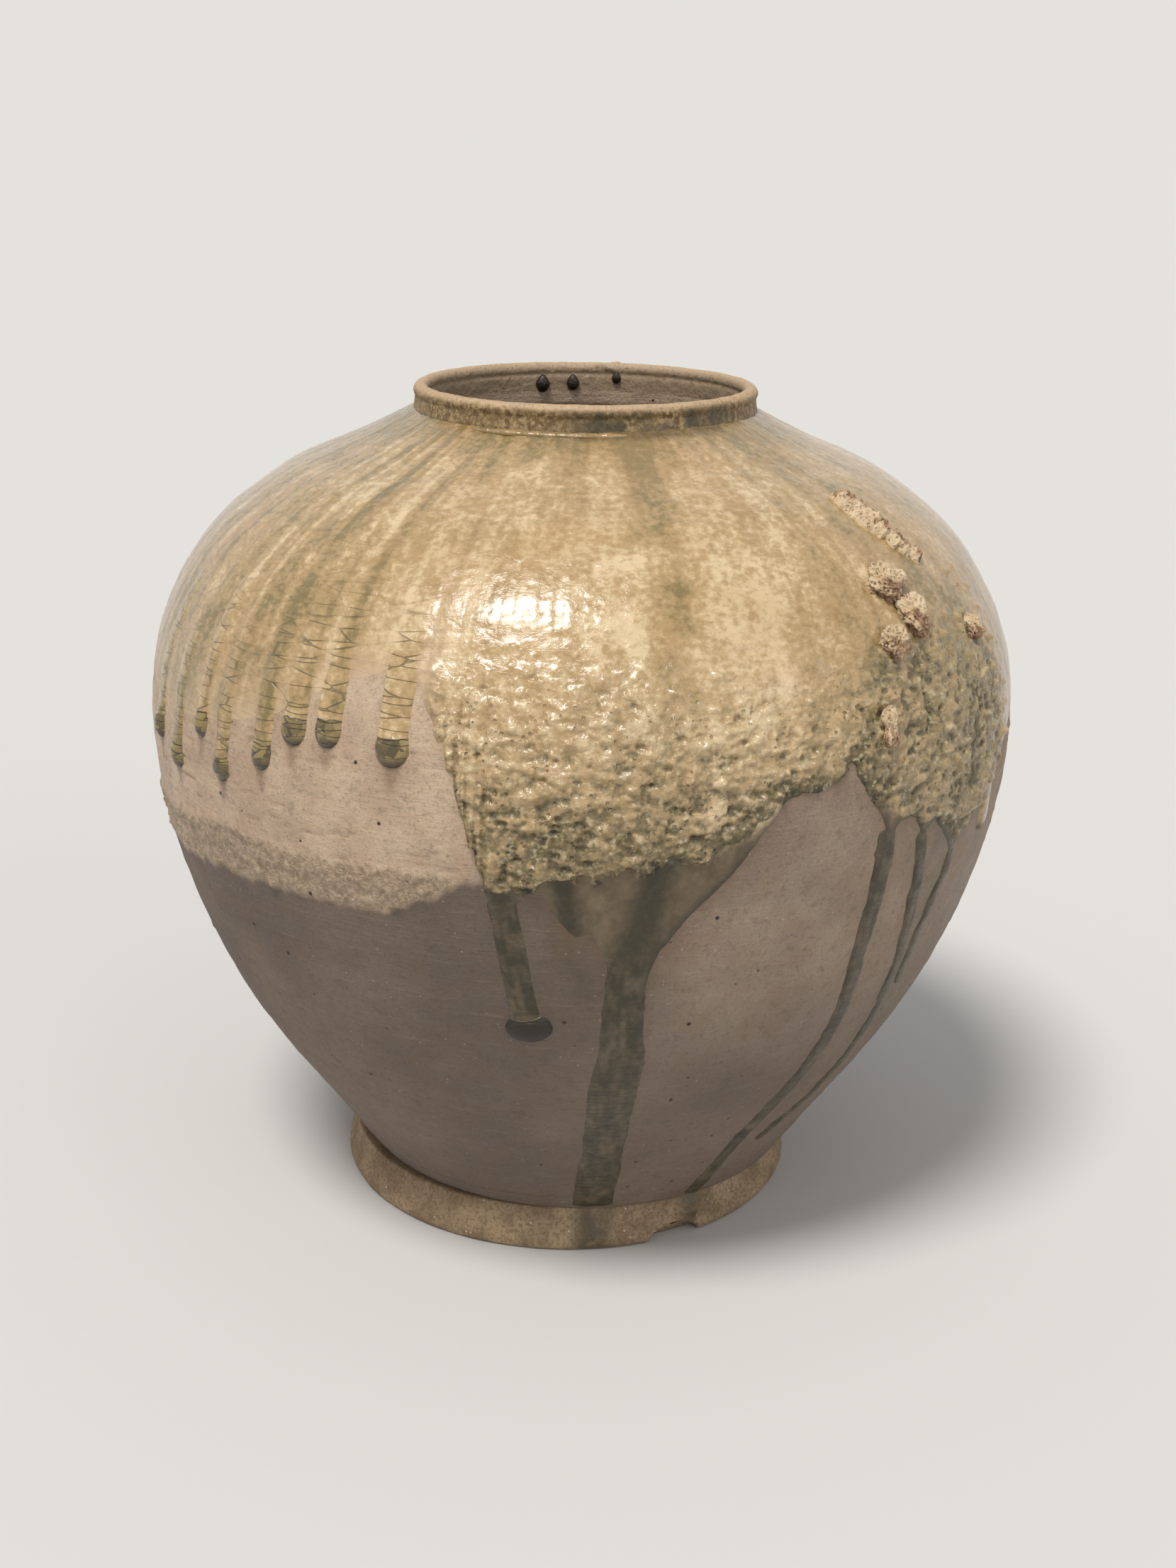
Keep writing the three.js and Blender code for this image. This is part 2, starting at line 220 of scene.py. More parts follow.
def sand_band(a, s):
    """How far a place is in the rough band on the left, where loose ash stuck to the belly."""
    z = height_at(s) + 1.6 * fbm(*around(a, 24), s / 9, 3, 3)
    top = np.interp(a, (-65, -48, -41, -14), (130, 135.5, 134, 135))
    bottom = np.interp(a, (-64, -50, -26, -20, -15), (116, 120, 121, 123.5, 131))
    side = window(a, -100, -70, -16, -13)
    return window(z, bottom - 1, bottom + 1.5, top - 2.6, top + 0.8) * side


def clay_lift(a, s):
    """The clay's distance from the wall line: slow wobble, throwing rings, dents and rough band."""
    x, y = around(a, BELLY_RADIUS)
    z = height_at(s)
    wobble = 0.3 * fbm(x / 70, y / 70, z / 50, 2, 5) - 0.3
    belly = window(z, 60, 120, 185, 215)
    rings = 0.1 * noise(x / 90, y / 90, s / 3.2, 8) + 0.12 * noise(x / 160, y / 160, s / 7, 9)
    dents = 0.1 * fbm(x / 5, y / 5, s / 4, 3, 11)
    band = sand_band(a, s) * (0.3 + 0.45 * fbm(x / 2.6, y / 2.6, s / 2, 3, 14))
    room = (0.6 + 0.75 * smooth(60, 20, np.abs(a))) * belly
    return wobble - room + rings + dents + band


SPOT_REACH = 2.4
LEAST_RADIUS = 100


def press(a, s, lift, spots):
    """Adds spots to a grid of lifts whose columns are angles. A spot has an angle, an arc length,
    half sizes across and up, a height, and the height of a rim round it."""
    columns = a[0]
    for angle, arc, wide, tall, height, rim in spots:
        reach = math.degrees(SPOT_REACH * wide / LEAST_RADIUS)
        low, high = np.searchsorted(columns, (angle - reach, angle + reach))
        if low == high:
            continue
        part = slice(low, high)
        across = sideways(a[:, part], angle, s[:, part])
        q = np.hypot(across / wide, (s[:, part] - arc) / tall)
        lift[:, part] += height * np.exp(-1.3 * q**2) + rim * bell(q, 1.35, 0.4)
    return lift


SCRATCHES, BAND_GRIT, DIMPLES = 60, 700, 2200


def clay_marks():
    """Short tool scratches on the left of the belly, and grit and small dimples all over."""
    marks = []
    for _ in range(SCRATCHES):
        a, z = rng.uniform(-76, -15), rng.uniform(133, 164)
        marks.append((a, arc_at(z), rng.uniform(1, 6.5), 0.55, -rng.uniform(0.2, 0.5), 0.1))
    for _ in range(BAND_GRIT):
        a, z, size = rng.uniform(-88, -14), rng.uniform(117, 134), rng.uniform(0.5, 1)
        height = size * rng.uniform(0.3, 0.6) * sand_band(a, arc_at(z))
        marks.append((a, arc_at(z), size, size, height, 0))
    for _ in range(DIMPLES):
        a, arc, size = rng.uniform(-180, 180), rng.uniform(8, ARC[-1]), rng.uniform(0.5, 1.2)
        marks.append((a, arc, size, size, rng.choice((-1, 1)) * size * rng.uniform(0.1, 0.3), 0))
    return marks


CLAY_MARKS = clay_marks()


# Relief of the glaze

EDGE_STEP = 0.2
EDGE_ANGLES = np.arange(-180, 180, EDGE_STEP)


def edge_table():
    """The glaze edge as an arc length for each angle, with the small wander that the knots lack."""
    angles = np.array([k[0] for k in GLAZE_EDGE], float)
    arcs = arc_at(np.array([k[1] for k in GLAZE_EDGE], float))
    angles = np.concatenate([angles - 360, angles, angles + 360])
    table = np.interp(EDGE_ANGLES, angles, np.tile(arcs, 3))
    table = np.convolve(np.tile(table, 3), np.hanning(9) / np.hanning(9).sum(), "same")
    table = table[len(EDGE_ANGLES):2 * len(EDGE_ANGLES)]
    turn = np.abs(EDGE_ANGLES)
    back = smooth(70, 110, turn)
    width = math.radians(EDGE_STEP) * radius_at(table)
    steep = np.sqrt(1 + (np.gradient(table) / width) ** 2)
    length = np.cumsum(width * steep)
    ragged = noise(length / 4.2, 0.5, 0.5, 22) + 0.6 * noise(length / 1.7, 0.5, 0.5, 23)
    crumbly = window(EDGE_ANGLES, -21, -19, -11, -8)
    amount = (0.35 + 1.05 * crumbly + 0.5 * back) * (1 - smooth(172, 179, turn))
    table = table + amount * ragged * np.minimum(steep, 4)
    return table + 5 * back * noise(*around(EDGE_ANGLES, 9), 0.5, 21)


EDGE_ARCS = edge_table()
EDGE_SLOPES = np.gradient(EDGE_ARCS) / (math.radians(EDGE_STEP) * radius_at(EDGE_ARCS))


def edge_arc(a):
    return np.interp(fold(a), EDGE_ANGLES, EDGE_ARCS, period=360)


def edge_distance(a, s):
    """Distance inside the glaze edge, negative outside it."""
    slope = np.interp(fold(a), EDGE_ANGLES, EDGE_SLOPES, period=360)
    return (s - edge_arc(a)) / np.sqrt(1 + slope**2)


def above_coarse_edge(a, z):
    return z - np.interp(a, *np.array(COARSE_EDGE).T)


def coarse_zone(a, s):
    """Where the glaze is thick with half-melted ash, coarse and pitted."""
    z = height_at(s)
    upper = 178 + 8 * smooth(20, 60, a) + 9 * fbm(*around(a, 12), s / 30, 2, 31)
    below_top = 1 - smooth(upper - 16, upper + 14, z)
    sides = window(a, -20.5, -17.5, 62, 72)
    ragged = 4 * fbm(*around(a, 30), s / 4, 4, 33)
    return below_top * sides * smooth(-0.8, 1.2, above_coarse_edge(a, z) + ragged)


def drip_column(a, s):
    """The thicker streaks above the left drips, from 0 to 1."""
    total = 0
    for angle, tip, width in LEFT_DRIPS:
        reach = 1 - smooth(26, 58, s - arc_at(tip))
        half = width * 0.46 * (1 + 0.12 * noise(s / 6, angle, 0.5, 45))
        across = sideways(a, angle, s) / half
        total = total + np.exp(-(across**4)) * reach
    return np.clip(total, 0, 1)


def line_glow(a, s, places, width):
    """1 along a line of [angle, height] places that runs up the wall, fading across a width."""
    heights = [z for _, z in places]
    z = height_at(s)
    across = sideways(a, np.interp(z, heights, [angle for angle, _ in places]), s)
    start, end = heights[0], heights[-1]
    return bell(across, 0, width) * window(z, start - 5, start + 2, end - 2, end + 5)


def dark_streak(a, s):
    """The olive streak that runs down from the neck on the front."""
    z = height_at(s)
    centre = np.interp(z, (150, 170, 192, 206, 211, 219, 226), (9, 11, 11.5, 12.3, 12.4, 12.3, 15))
    width = np.interp(z, (150, 190, 226), (11, 7, 5.2))
    fade = smooth(140, 175, z) * (0.75 + 0.25 * noise(a * 0 + 2, s / 6, 1, 41))
    return bell(sideways(a, centre, s), 0, width) * fade


def glaze_body(a, s):
    """Thickness of the shoulder glaze over the clay without its lumps, below 0 outside its edge."""
    x, y = around(a, BELLY_RADIUS)
    d = edge_distance(a, s)
    coarse = coarse_zone(a, s)
    left = smooth(-20, -24, a) * smooth(-100, -80, a)
    film = smooth(146, 138, height_at(s)) * smooth(-14, -10, a) * smooth(60, 50, a)
    full = 0.42 - 0.12 * left + 0.3 * coarse - 0.24 * film * (1 - coarse)
    body = full * (1 - np.exp(-np.maximum(d, 0) / (2.2 + 3 * left)))
    body = body + 0.16 * (1 - left) * bell(d, 1.5, 1.2) + np.minimum(d, 0) * 0.7
    streaks = 0.1 * fbm(*around(a, 34), s / 45, 2, 55) * smooth(0, 6, d)
    peel = 0.05 * noise(x / 2.6, y / 2.6, s / 1.5, 57) + 0.05 * noise(x / 6, y / 6, s / 4, 58)
    return body + streaks + peel * (1 - coarse) * smooth(0, 3, d) + 0.42 * drip_column(a, s) * smooth(0, 3, d)


def glaze_lumps(a, s):
    """The pebbly relief of the half-melted ash."""
    x, y = around(a, BELLY_RADIUS)
    big = 0.42 * fbm(x / 4.6, y / 4.6, s / 3.6, 2, 51)
    small = 0.17 * noise(x / 1.5, y / 1.5, s / 1.2, 54)
    folds = 0.3 * (1 - np.abs(noise(x / 3.1, y / 3.1, s / 1.9, 56)) * 2.2)
    grit = 0.09 * noise(x / 0.8, y / 0.8, s / 0.7, 59)
    return coarse_zone(a, s) * (big + small + folds + grit - 0.05)


def scatter(count, make):
    """Spots at random places of the coarse glaze, tried in batches."""
    spots, batch = [], 500
    while len(spots) < count:
        a, arc = rng.uniform(-21, 72, batch), rng.uniform(arc_at(126), arc_at(196), batch)
        keep = rng.random(batch) < coarse_zone(a, arc) * (edge_distance(a, arc) > 1.2)
        spots.extend((x, y, *make()) for x, y in zip(a[keep], arc[keep]))
    return spots[:count]


def pebble():
    size = 0.7 + 1.3 * rng.random() ** 2
    return size * rng.uniform(0.9, 1.5), size * rng.uniform(0.7, 1), size * rng.uniform(0.15, 0.4), 0


def pit():
    size = 0.36 + 0.7 * rng.random() ** 4
    depth = size * rng.uniform(0.4, 0.8)
    return size * rng.uniform(0.8, 1.8), size * rng.uniform(0.7, 1), -depth, 0.25 * depth


def edge_pebble():
    """A pebble of the crowd along the steep left edge of the coarse glaze."""
    share, knots = rng.random(), (0, 0.4, 0.75, 1)
    a = np.interp(share, knots, (-18.6, -14.4, -12, -9.6)) + rng.normal(0.6, 0.7)
    arc = arc_at(np.interp(share, knots, (184, 160, 142, 131)))
    wide, tall, height, rim = pebble()
    return a, arc + rng.normal(0, 1.5), wide, tall, height * 1.3, rim


PEBBLES = scatter(2000, pebble) + [edge_pebble() for _ in range(150)]
PITS = scatter(650, pit)


# Meshes

def link(name, data):
    obj = bpy.data.objects.new(name, data)
    bpy.context.scene.collection.objects.link(obj)
    return obj


def make_object(name, points, faces, tints, slot, node, normals=None, caps=()):
    """A piece from points in millimetres, an array of faces with equally many corners, values that
    its material reads at each point, 0 where left out, and caps with any number of corners."""
    mesh = bpy.data.meshes.new(name)
    points = np.asarray(points, float).reshape(-1, 3) * MM
    flat = np.concatenate([faces.ravel(), *caps])
    counts = np.array([faces.shape[1]] * len(faces) + [len(corners) for corners in caps])
    starts = np.concatenate([[0], np.cumsum(counts)[:-1]])
    mesh.vertices.add(len(points))
    mesh.vertices.foreach_set("co", points.ravel().astype(np.float32))
    mesh.loops.add(len(flat))
    mesh.loops.foreach_set("vertex_index", flat.astype(np.int32))
    mesh.polygons.add(len(counts))
    mesh.polygons.foreach_set("loop_start", starts.astype(np.int32))
    mesh.update(calc_edges=True)
    mesh.polygons.foreach_set("use_smooth", np.ones(len(counts), bool))
    for key, values in tints.items():
        layer = mesh.attributes.new(key, "FLOAT", "POINT")
        layer.data.foreach_set("value", np.asarray(values, np.float32).ravel())
    if normals is not None:
        mesh.normals_split_custom_set_from_vertices(normals.reshape(-1, 3).tolist())
    mesh.materials.append(MATERIALS[slot])
    obj = link(name, mesh)
    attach(obj, "root")
    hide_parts(node)
    return obj


def grid_faces(rows, columns, ring_rows, ring_columns):
    """Quads of a grid of points, which may close on itself each way."""
    i = np.arange(rows if ring_rows else rows - 1)[:, None]
    j = np.arange(columns if ring_columns else columns - 1)[None, :]
    up, right = (i + 1) % rows, (j + 1) % columns
    quads = [i * columns + j, i * columns + right, up * columns + right, up * columns + j]
    return np.stack(np.broadcast_arrays(*quads), -1).reshape(-1, 4)


def end_caps(rows, wide):
    """The two end faces of a grid whose rows close on themselves."""
    first = np.arange(rows) * wide
    return [first, first[::-1] + wide - 1]


def grid_normals(points, ring_columns):
    """Outward normals of a grid of points whose rows run up and whose columns run round."""
    if ring_columns:
        right = np.roll(points, -1, 1) - np.roll(points, 1, 1)
    else:
        right = np.gradient(points, axis=1)
    normal = np.cross(right, np.gradient(points, axis=0))
    return normal / np.maximum(np.linalg.norm(normal, axis=-1, keepdims=True), 1e-9)


# Angles once round the jar, closer together on the front
TURN = np.linspace(-math.pi, math.pi, 960, endpoint=False)
COLUMNS = np.degrees(TURN - 0.35 * np.sin(TURN))


def inner_lift(s):
    """The inner face's distance from the wall line, which is the wall's thickness below 0."""
    low, high = WALL_THICKNESS
    return -(low + (high - low) * smooth(arc_at(BASE_TOP), arc_at(THIN_FROM), s))


def inside_wall(a, s):
    """Points on the inner face of the wall, which turns up into the neck at its top."""
    points = place(a, s, inner_lift(s) + 0.35 * noise(*around(a, 2), s / 6, 71))
    below = arc_at(COLLAR_BASE) - s
    neck = smooth(16, 5, below)[..., None]
    tube = ring_at(np.radians(a), MOUTH_RADIUS + 0.4, COLLAR_BASE - 0.75 * below)
    return points * (1 - neck) + tube * neck


# Clay pieces

# Brownish film on the clay below the glaze: strength, width, and the line it follows
CLAY_FILMS = (
    (1, 4.2, ((1.5, 100), (-0.2, 110), (-1.6, 118), (-1.5, 130))),
    (0.8, 9, ((52, 70), (51, 100), (50, 140))),
    (0.6, 9, ((60, 60), (62, 100), (62, 140))),
)


def clay_tints(a, s):
    """Values that the clay material reads: pale flash, sandy band, stain below the glaze and film."""
    z = height_at(s)
    ragged = 2.5 * fbm(*around(a, 30), s / 14, 3, 61)
    foot_of_pale = np.interp(a, (-64, -50, -26, -20, -13), (116, 120, 121, 124, 133))
    pale = smooth(foot_of_pale - 1.5, foot_of_pale + 2, z + ragged) * window(a, -150, -95, -12, -9)
    warm = 0.4 * smooth(60, 120, z) * window(a, 2, 16, 110, 150)
    outside = np.maximum(-edge_distance(a, s), 0)
    stain = np.exp(-outside / 3) * (0.55 - 0.4 * smooth(-8, -11, a) * smooth(-100, -80, a))
    for angle, tip, width in LEFT_DRIPS:
        below = arc_at(tip) - s
        tail = bell(sideways(a, angle, s), 0, width * 0.3 * np.maximum(1.1 - below / 8, 0.1))
        stain = stain + tail * window(below, -3, 0, 3.5, 7)
    film = 0.7 * np.exp(-outside / 5) * window(a, -13, -8, 20, 30)
    film = film + 0.5 * bell(outside, 0, 10) * smooth(70, 90, np.abs(a))
    for strength, width, line in CLAY_FILMS:
        film = film + strength * line_glow(a, s, line, width)
    film = film * (0.75 + 0.5 * fbm(*around(a, 40), s / 9, 3, 65))
    return {
        "flash": np.clip(pale + warm, 0, 1), "sand": sand_band(a, s),
        "stain": np.clip(stain, 0, 1), "film": np.clip(film, 0, 1),
    }


ROW_STEP = 0.65
# Belts under the glaze, whose rows are further apart
HIDDEN_ROW_STEPS = {"shoulder_wall": 1.2, "shoulder_top": 2.5}


def wall_belts():
    """The belts of the wall, each a closed ring whose outer face is a strip of one surface."""
    start = arc_at(BASE_TOP)
    for name in BELT_NAMES:
        end = arc_at(BELT_TOPS[name])
        rows = int((end - start) / HIDDEN_ROW_STEPS.get(name, ROW_STEP)) + 1
        arcs = start + (end - start) / rows * np.arange(-1, rows + 2)
        a, s = np.broadcast_arrays(COLUMNS[None, :], arcs[:, None])
        surface = place(a, s, press(a, s, clay_lift(a, s), CLAY_MARKS))
        normals = grid_normals(surface, True)[1:-1]
        outside, a, s = surface[1:-1], a[1:-1], s[1:-1]
        inner_rows = 40 if name == "shoulder_top" else 10
        a_in, s_in = np.broadcast_arrays(COLUMNS[None, :], np.linspace(end, start, inner_rows)[:, None])
        inside = inside_wall(a_in, s_in)
        inside[0, :, 2] = outside[-1, :, 2]
        inside[-1, :, 2] = outside[0, :, 2]
        points = np.concatenate([outside, inside])
        tints = {
            key: np.concatenate([value, np.zeros(a_in.shape)])
            for key, value in clay_tints(a, s).items()
        }
        tints["flash"][rows + 1:] = 0.85 * smooth(22, 6, arc_at(COLLAR_BASE) - s_in)
        normals = np.concatenate([normals, grid_normals(inside, True)])
        faces = grid_faces(len(points), len(COLUMNS), True, True)
        make_object(f"{name}_clay", points, faces, tints, "bare_clay", name, normals)
        start = end


def turned_ring(name, line, lift, slot, node, tints):
    """A closed ring from a closed profile line, with its points moved by a relief."""
    a = COLUMNS[None, :]
    along = np.roll(line, -1, 0) - np.roll(line, 1, 0)
    out = np.stack([along[:, 1], -along[:, 0]], 1) / np.hypot(*along.T)[:, None]
    radius, z = (np.broadcast_to(line[:, [i]], (len(line), len(COLUMNS))) for i in (0, 1))
    move = lift(a, radius, z)
    high = np.clip(z + move * out[:, [1]], 0, LIP_TOP)
    points = ring_at(np.radians(a), radius + move * out[:, [0]], high)
    faces = grid_faces(len(line), len(COLUMNS), True, True)
    return make_object(name, points, faces, tints(a, radius, z), slot, node)


def even(line, step):
    """A closed line resampled at an even step."""
    closed = np.vstack([line, line[:1]])
    arc = np.concatenate([[0], np.cumsum(np.hypot(*np.diff(closed, axis=0).T))])
    count = int(arc[-1] / step)
    at = np.linspace(0, arc[-1], count, endpoint=False)
    return np.stack([np.interp(at, arc, closed[:, 0]), np.interp(at, arc, closed[:, 1])], 1)


def collar_line():
    """The neck's section: its outer face, the rolled lip and its inner face."""
    centre = (MOUTH_RADIUS + LIP_RADIUS, LIP_TOP - LIP_RADIUS - 0.25)
    turn = np.radians(np.linspace(-40, 215, 24))
    lip = np.stack([centre[0] + LIP_RADIUS * np.cos(turn), centre[1] + LIP_RADIUS * np.sin(turn)], 1)
    joint = radius_at(arc_at(COLLAR_BASE))
    outside = through([
        (joint - 1.6, COLLAR_BASE - 1), (joint - 2, COLLAR_BASE + 1.2),
        (joint - 2.3, COLLAR_BASE + 2.6), tuple(lip[0]),
    ])
    inside = through([
        tuple(lip[-1]), (MOUTH_RADIUS + 0.1, COLLAR_BASE + 3.4), (MOUTH_RADIUS + 0.4, COLLAR_BASE - 1),
    ])
    return even(np.vstack([outside, lip, inside]), 0.42)


def neck_collar():
    """The short neck with its rolled lip, and a few crumbs on the lip's back."""
    def lift(a, radius, z):
        x, y = around(a, COLLAR_RADIUS)
        wobble = 0.22 * noise(x / 30, y / 30, z / 20, 81) + 0.16 * fbm(x / 3.4, y / 3.4, z / 3, 3, 82)
        crumbs = 0.5 * bell(np.abs(a), 171, 5) * smooth(-0.1, 0.6, noise(x / 1.6, y / 1.6, z, 87))
        return wobble - 0.14 + crumbs * smooth(LIP_TOP - 3, LIP_TOP - 1.5, z)

    def tints(a, radius, z):
        x, y = around(a, COLLAR_RADIUS)
        front = window(a, -14, 4, 44, 60) * smooth(COLLAR_RADIUS, 47.5, radius)
        patchy = smooth(-0.5, 0.3, fbm(x / 6, y / 6, z / 5, 2, 85))
        # The top of the lip: buff clay, which the material lightens further as a painted highlight.
        crest = smooth(LIP_TOP - 2.6, LIP_TOP - 0.8, z)
        inside = 1 - smooth(MOUTH_RADIUS + 0.3, MOUTH_RADIUS + 1.2, radius)
        outside = smooth(COLLAR_RADIUS, COLLAR_RADIUS + 1, radius)
        crease = 0.75 * (1 - smooth(COLLAR_BASE + 0.7, COLLAR_BASE + 2.3, z)) * outside
        glaze = np.maximum(front * patchy * (1 - crest), crease * (0.7 + 0.5 * patchy))
        return {"glaze": np.clip(glaze, 0, 1), "crest": crest, "inside": inside + 0 * a}

    turned_ring("collar_and_lip", collar_line(), lift, "rim_clay", "neck_collar", tints)


def foot_line():
    """The foot ring's section, flat below and above."""
    inside = FOOT_RADIUS - FOOT_WIDTH
    outer = through([
        (FOOT_RADIUS - 1.4, 0), (FOOT_RADIUS - 0.2, 1), (FOOT_RADIUS - 0.4, 4),
        (FOOT_RADIUS - 1.6, 8), (FOOT_RADIUS - 2.9, FOOT_TOP),
    ])
    inner = through([(inside - 0.5, FOOT_TOP), (inside, 4), (inside + 0.8, 1), (inside + 1.8, 0)])
    return even(np.vstack([outer, inner]), 0.8)


# The chip in the foot's lower front edge
CHIP = {"angle": 28, "arc": 17, "height": 4.6, "depth": 4.5}


def foot_ring():
    """The foot ring, off centre and chipped, with the ends of two glaze runs on its outer face."""
    def lift(a, radius, z):
        x, y = around(a, radius)
        rough = 0.18 * fbm(x / 7, y / 7, z / 5, 3, 91) + 0.1 * fbm(x / 1.8, y / 1.8, z / 1.8, 2, 93)
        on_face = smooth(0.05, 1.2, z) * smooth(0, 0.8, FOOT_TOP - z)
        across = np.radians(a - CHIP["angle"]) * radius
        ragged = 1 + 0.35 * fbm(x / 5, y / 5, z / 4, 2, 95)
        q = (across / (CHIP["arc"] / 2)) ** 2 + (z / CHIP["height"]) ** 2
        outside = smooth(FOOT_RADIUS - 5, FOOT_RADIUS - 2, radius)
        bite = np.sqrt(np.clip(1 - q, 0, 1)) * outside * CHIP["depth"] * ragged
        grit = 1.3 * np.exp(-((a - 33) / 3.4) ** 2 - ((z - 7.5) / 2.6) ** 2) * outside
        grit = grit * (1 + 0.8 * fbm(x / 2.2, y / 2.2, z / 2.2, 2, 97))
        run = 0.45 * bell(a, 7.4, 4.6, 4) * outside * smooth(0.5, 3, z)
        return rough * on_face - bite + grit + run - 0.15 * on_face

    def tints(a, radius, z):
        x, y = around(a, radius)
        runs = bell(a, 7.4, 5, 4) + bell(a, 33.2, 3.4) * smooth(2, 6, z)
        patchy = smooth(-0.9, -0.1, fbm(x / 5, y / 5, z / 4, 2, 99))
        face = smooth(FOOT_RADIUS - 5, FOOT_RADIUS - 2, radius)
        return {"glaze": np.clip(runs, 0, 1) * patchy * face}

    piece = turned_ring("foot_ring_clay", foot_line(), lift, "foot_clay", "foot_ring", tints)
    piece.data.transform(Matrix.Translation((FOOT_SHIFT * MM, 0, 0)))


def base_disc():
    """The floor of the jar: a closed lens of rings, flat below and dished inside."""
    flat_rows, edge_rows, middle = 24, 8, 2
    angle = np.radians(COLUMNS)
    rings = []
    for radius in np.linspace(middle, 64, flat_rows):
        z = FOOT_TOP + 0.12 * noise(radius / 4 + 0 * angle, 0.5, 0.5, 101)
        rings.append(ring_at(angle, radius, z))
    arcs = np.linspace(arc_at(FOOT_TOP), arc_at(BASE_TOP), edge_rows)
    a, s = np.broadcast_arrays(COLUMNS[None, :], arcs[:, None])
    rings.extend(place(a, s, clay_lift(a, s)))
    rings[flat_rows][:, 2] = FOOT_TOP
    inside = radius_at(arc_at(BASE_TOP)) + inner_lift(arc_at(BASE_TOP)) - 1.4
    for radius in np.linspace(inside, middle, flat_rows):
        dish = 1.8 * smooth(inside, inside * 0.4, radius)
        ripple = 0.3 * math.sin(radius * 0.9) * smooth(inside, inside - 6, radius)
        rings.append(ring_at(angle, radius, BASE_TOP - dish + ripple + 0 * angle))
    points = np.concatenate(rings)
    count, wide = len(rings), len(COLUMNS)
    faces = grid_faces(count, wide, False, True)
    caps = [np.arange(wide)[::-1], np.arange((count - 1) * wide, count * wide)]
    make_object("base_floor", points, faces, {}, "bare_clay", "base_disc", caps=caps)


# Glaze pieces

# Streaks of dark film at the foot of the coarse glaze: the width of each, and the line it follows
FILM_STREAKS = (
    (5, ((5.2, 96), (5.6, 112), (7.4, 124), (9.5, 140))),
    (3.6, ((0.5, 104), (-0.8, 118), (-2, 136))),
    (4, ((-8.6, 118), (-9, 136))),
)
MEAN_RELIEF = 0.3


def glaze_tints(a, s, relief=MEAN_RELIEF):
    """Values that the glaze material reads: olive tone, depth of dark glass, coarseness, crazing and
    how thin the coat is. On the coarse glaze, tone and depth also hold painted shade in the relief's
    hollows, with paler pebble tops."""
    relief = relief - MEAN_RELIEF
    z = height_at(s)
    x, y = around(a, BELLY_RADIUS)
    d = edge_distance(a, s)
    coarse = coarse_zone(a, s)
    drips = drip_column(a, s)
    left = smooth(-14, -34, a) * smooth(-170, -110, a)
    streak = fbm(*around(a, 26), s / 70, 3, 111)
    slow = fbm(*around(a, 5), s / 90, 2, 115)
    blotch = fbm(x / 9, y / 9, s / 7, 3, 117)
    tone = 0.3 + 0.55 * streak * (0.6 + 0.7 * left) + 0.3 * slow + 0.16 * left + 0.2 * blotch
    tone = tone + 0.3 * window(a, 30, 60, 110, 170) + 0.65 * dark_streak(a, s) + 0.1 * drips
    tone = tone + 0.3 * smooth(-42, -66, a) * smooth(-160, -100, a)
    # On the coarse glaze the tone darkens where the relief sinks and pales on its tops: painted shade and
    # painted light on the pebbles.
    tone = tone + 0.35 * smooth(222, 229, z) + coarse * (0.2 + 0.3 * smooth(30, 40, a) - 0.55 * relief)
    film = (1 - coarse) * (1 - smooth(138, 150, z)) * window(a, -13, -10, 60, 66)
    streaks = sum(line_glow(a, s, line, width) for width, line in FILM_STREAKS)
    low = coarse * (1 - smooth(138, 172, z + 12 * blotch)) * (1 - smooth(32, 38, a))
    # The right zone's dark glass deepens where the relief sinks: painted shade in its hollows.
    right = coarse * smooth(30, 38, a) * np.clip(0.16 + 0.3 * blotch - 0.36 * relief, 0, 0.36)
    edge = np.exp(-np.maximum(d, 0) / 2.2) * smooth(75, 60, a)
    edge = edge * np.maximum(0.3 * coarse * smooth(-20.5, -18, a), smooth(3, 7, a))
    crease = smooth(227.6, 230, z) * window(a, -40, 0, 40, 60)
    tone = tone + 0.45 * low
    # The dark glass of the low zone and of the sinking glaze deepens where the relief sinks: painted shade in
    # the hollows.
    low = low * np.clip(0.34 + 0.3 * blotch - 0.5 * relief, 0, 0.48)
    sinking = 1 - smooth(0, 13, above_coarse_edge(a, z) + 4 * blotch)
    sinking = coarse * sinking * window(a, -10, -6, 28, 34)
    sinking = sinking * np.clip(0.48 + 0.3 * blotch - 0.4 * relief, 0.15, 0.62)
    depth = film * (0.42 + 0.4 * streaks) + np.maximum(low, sinking) + right + 0.35 * edge
    # More dark glass in the relief's hollows: painted shade.
    depth = depth + 0.3 * crease + coarse * np.maximum(-relief, 0) * 0.3
    craze = np.clip(0.1 + 0.9 * drips**2 + 0.12 * left, 0, 1) * (1 - 0.8 * coarse)
    thin = np.exp(-np.maximum(d, 0) / 7) * smooth(-13, -19, a) * (1 - drips) * (1 - coarse)
    return {
        "tone": np.clip(tone, 0, 1), "depth": np.clip(depth, 0, 0.78), "coarse": coarse,
        "craze": craze, "thin": np.clip(thin, 0, 1),
    }


# The shells of the shoulder glaze: name, first and last angle, columns
GLAZE_SHELLS = (
    ("left", -96, -21, 240), ("front", -21, 8, 270), ("front_right", 8, 36, 260),
    ("right", 36, 68, 270), ("right_side", 68, 110, 180), ("back", 110, 264, 250),
)
GLAZE_ROWS = 320
UNDER_ROWS = 12
UNDER_GLAZE = 1.6
UNDER_PATCH = 1.7


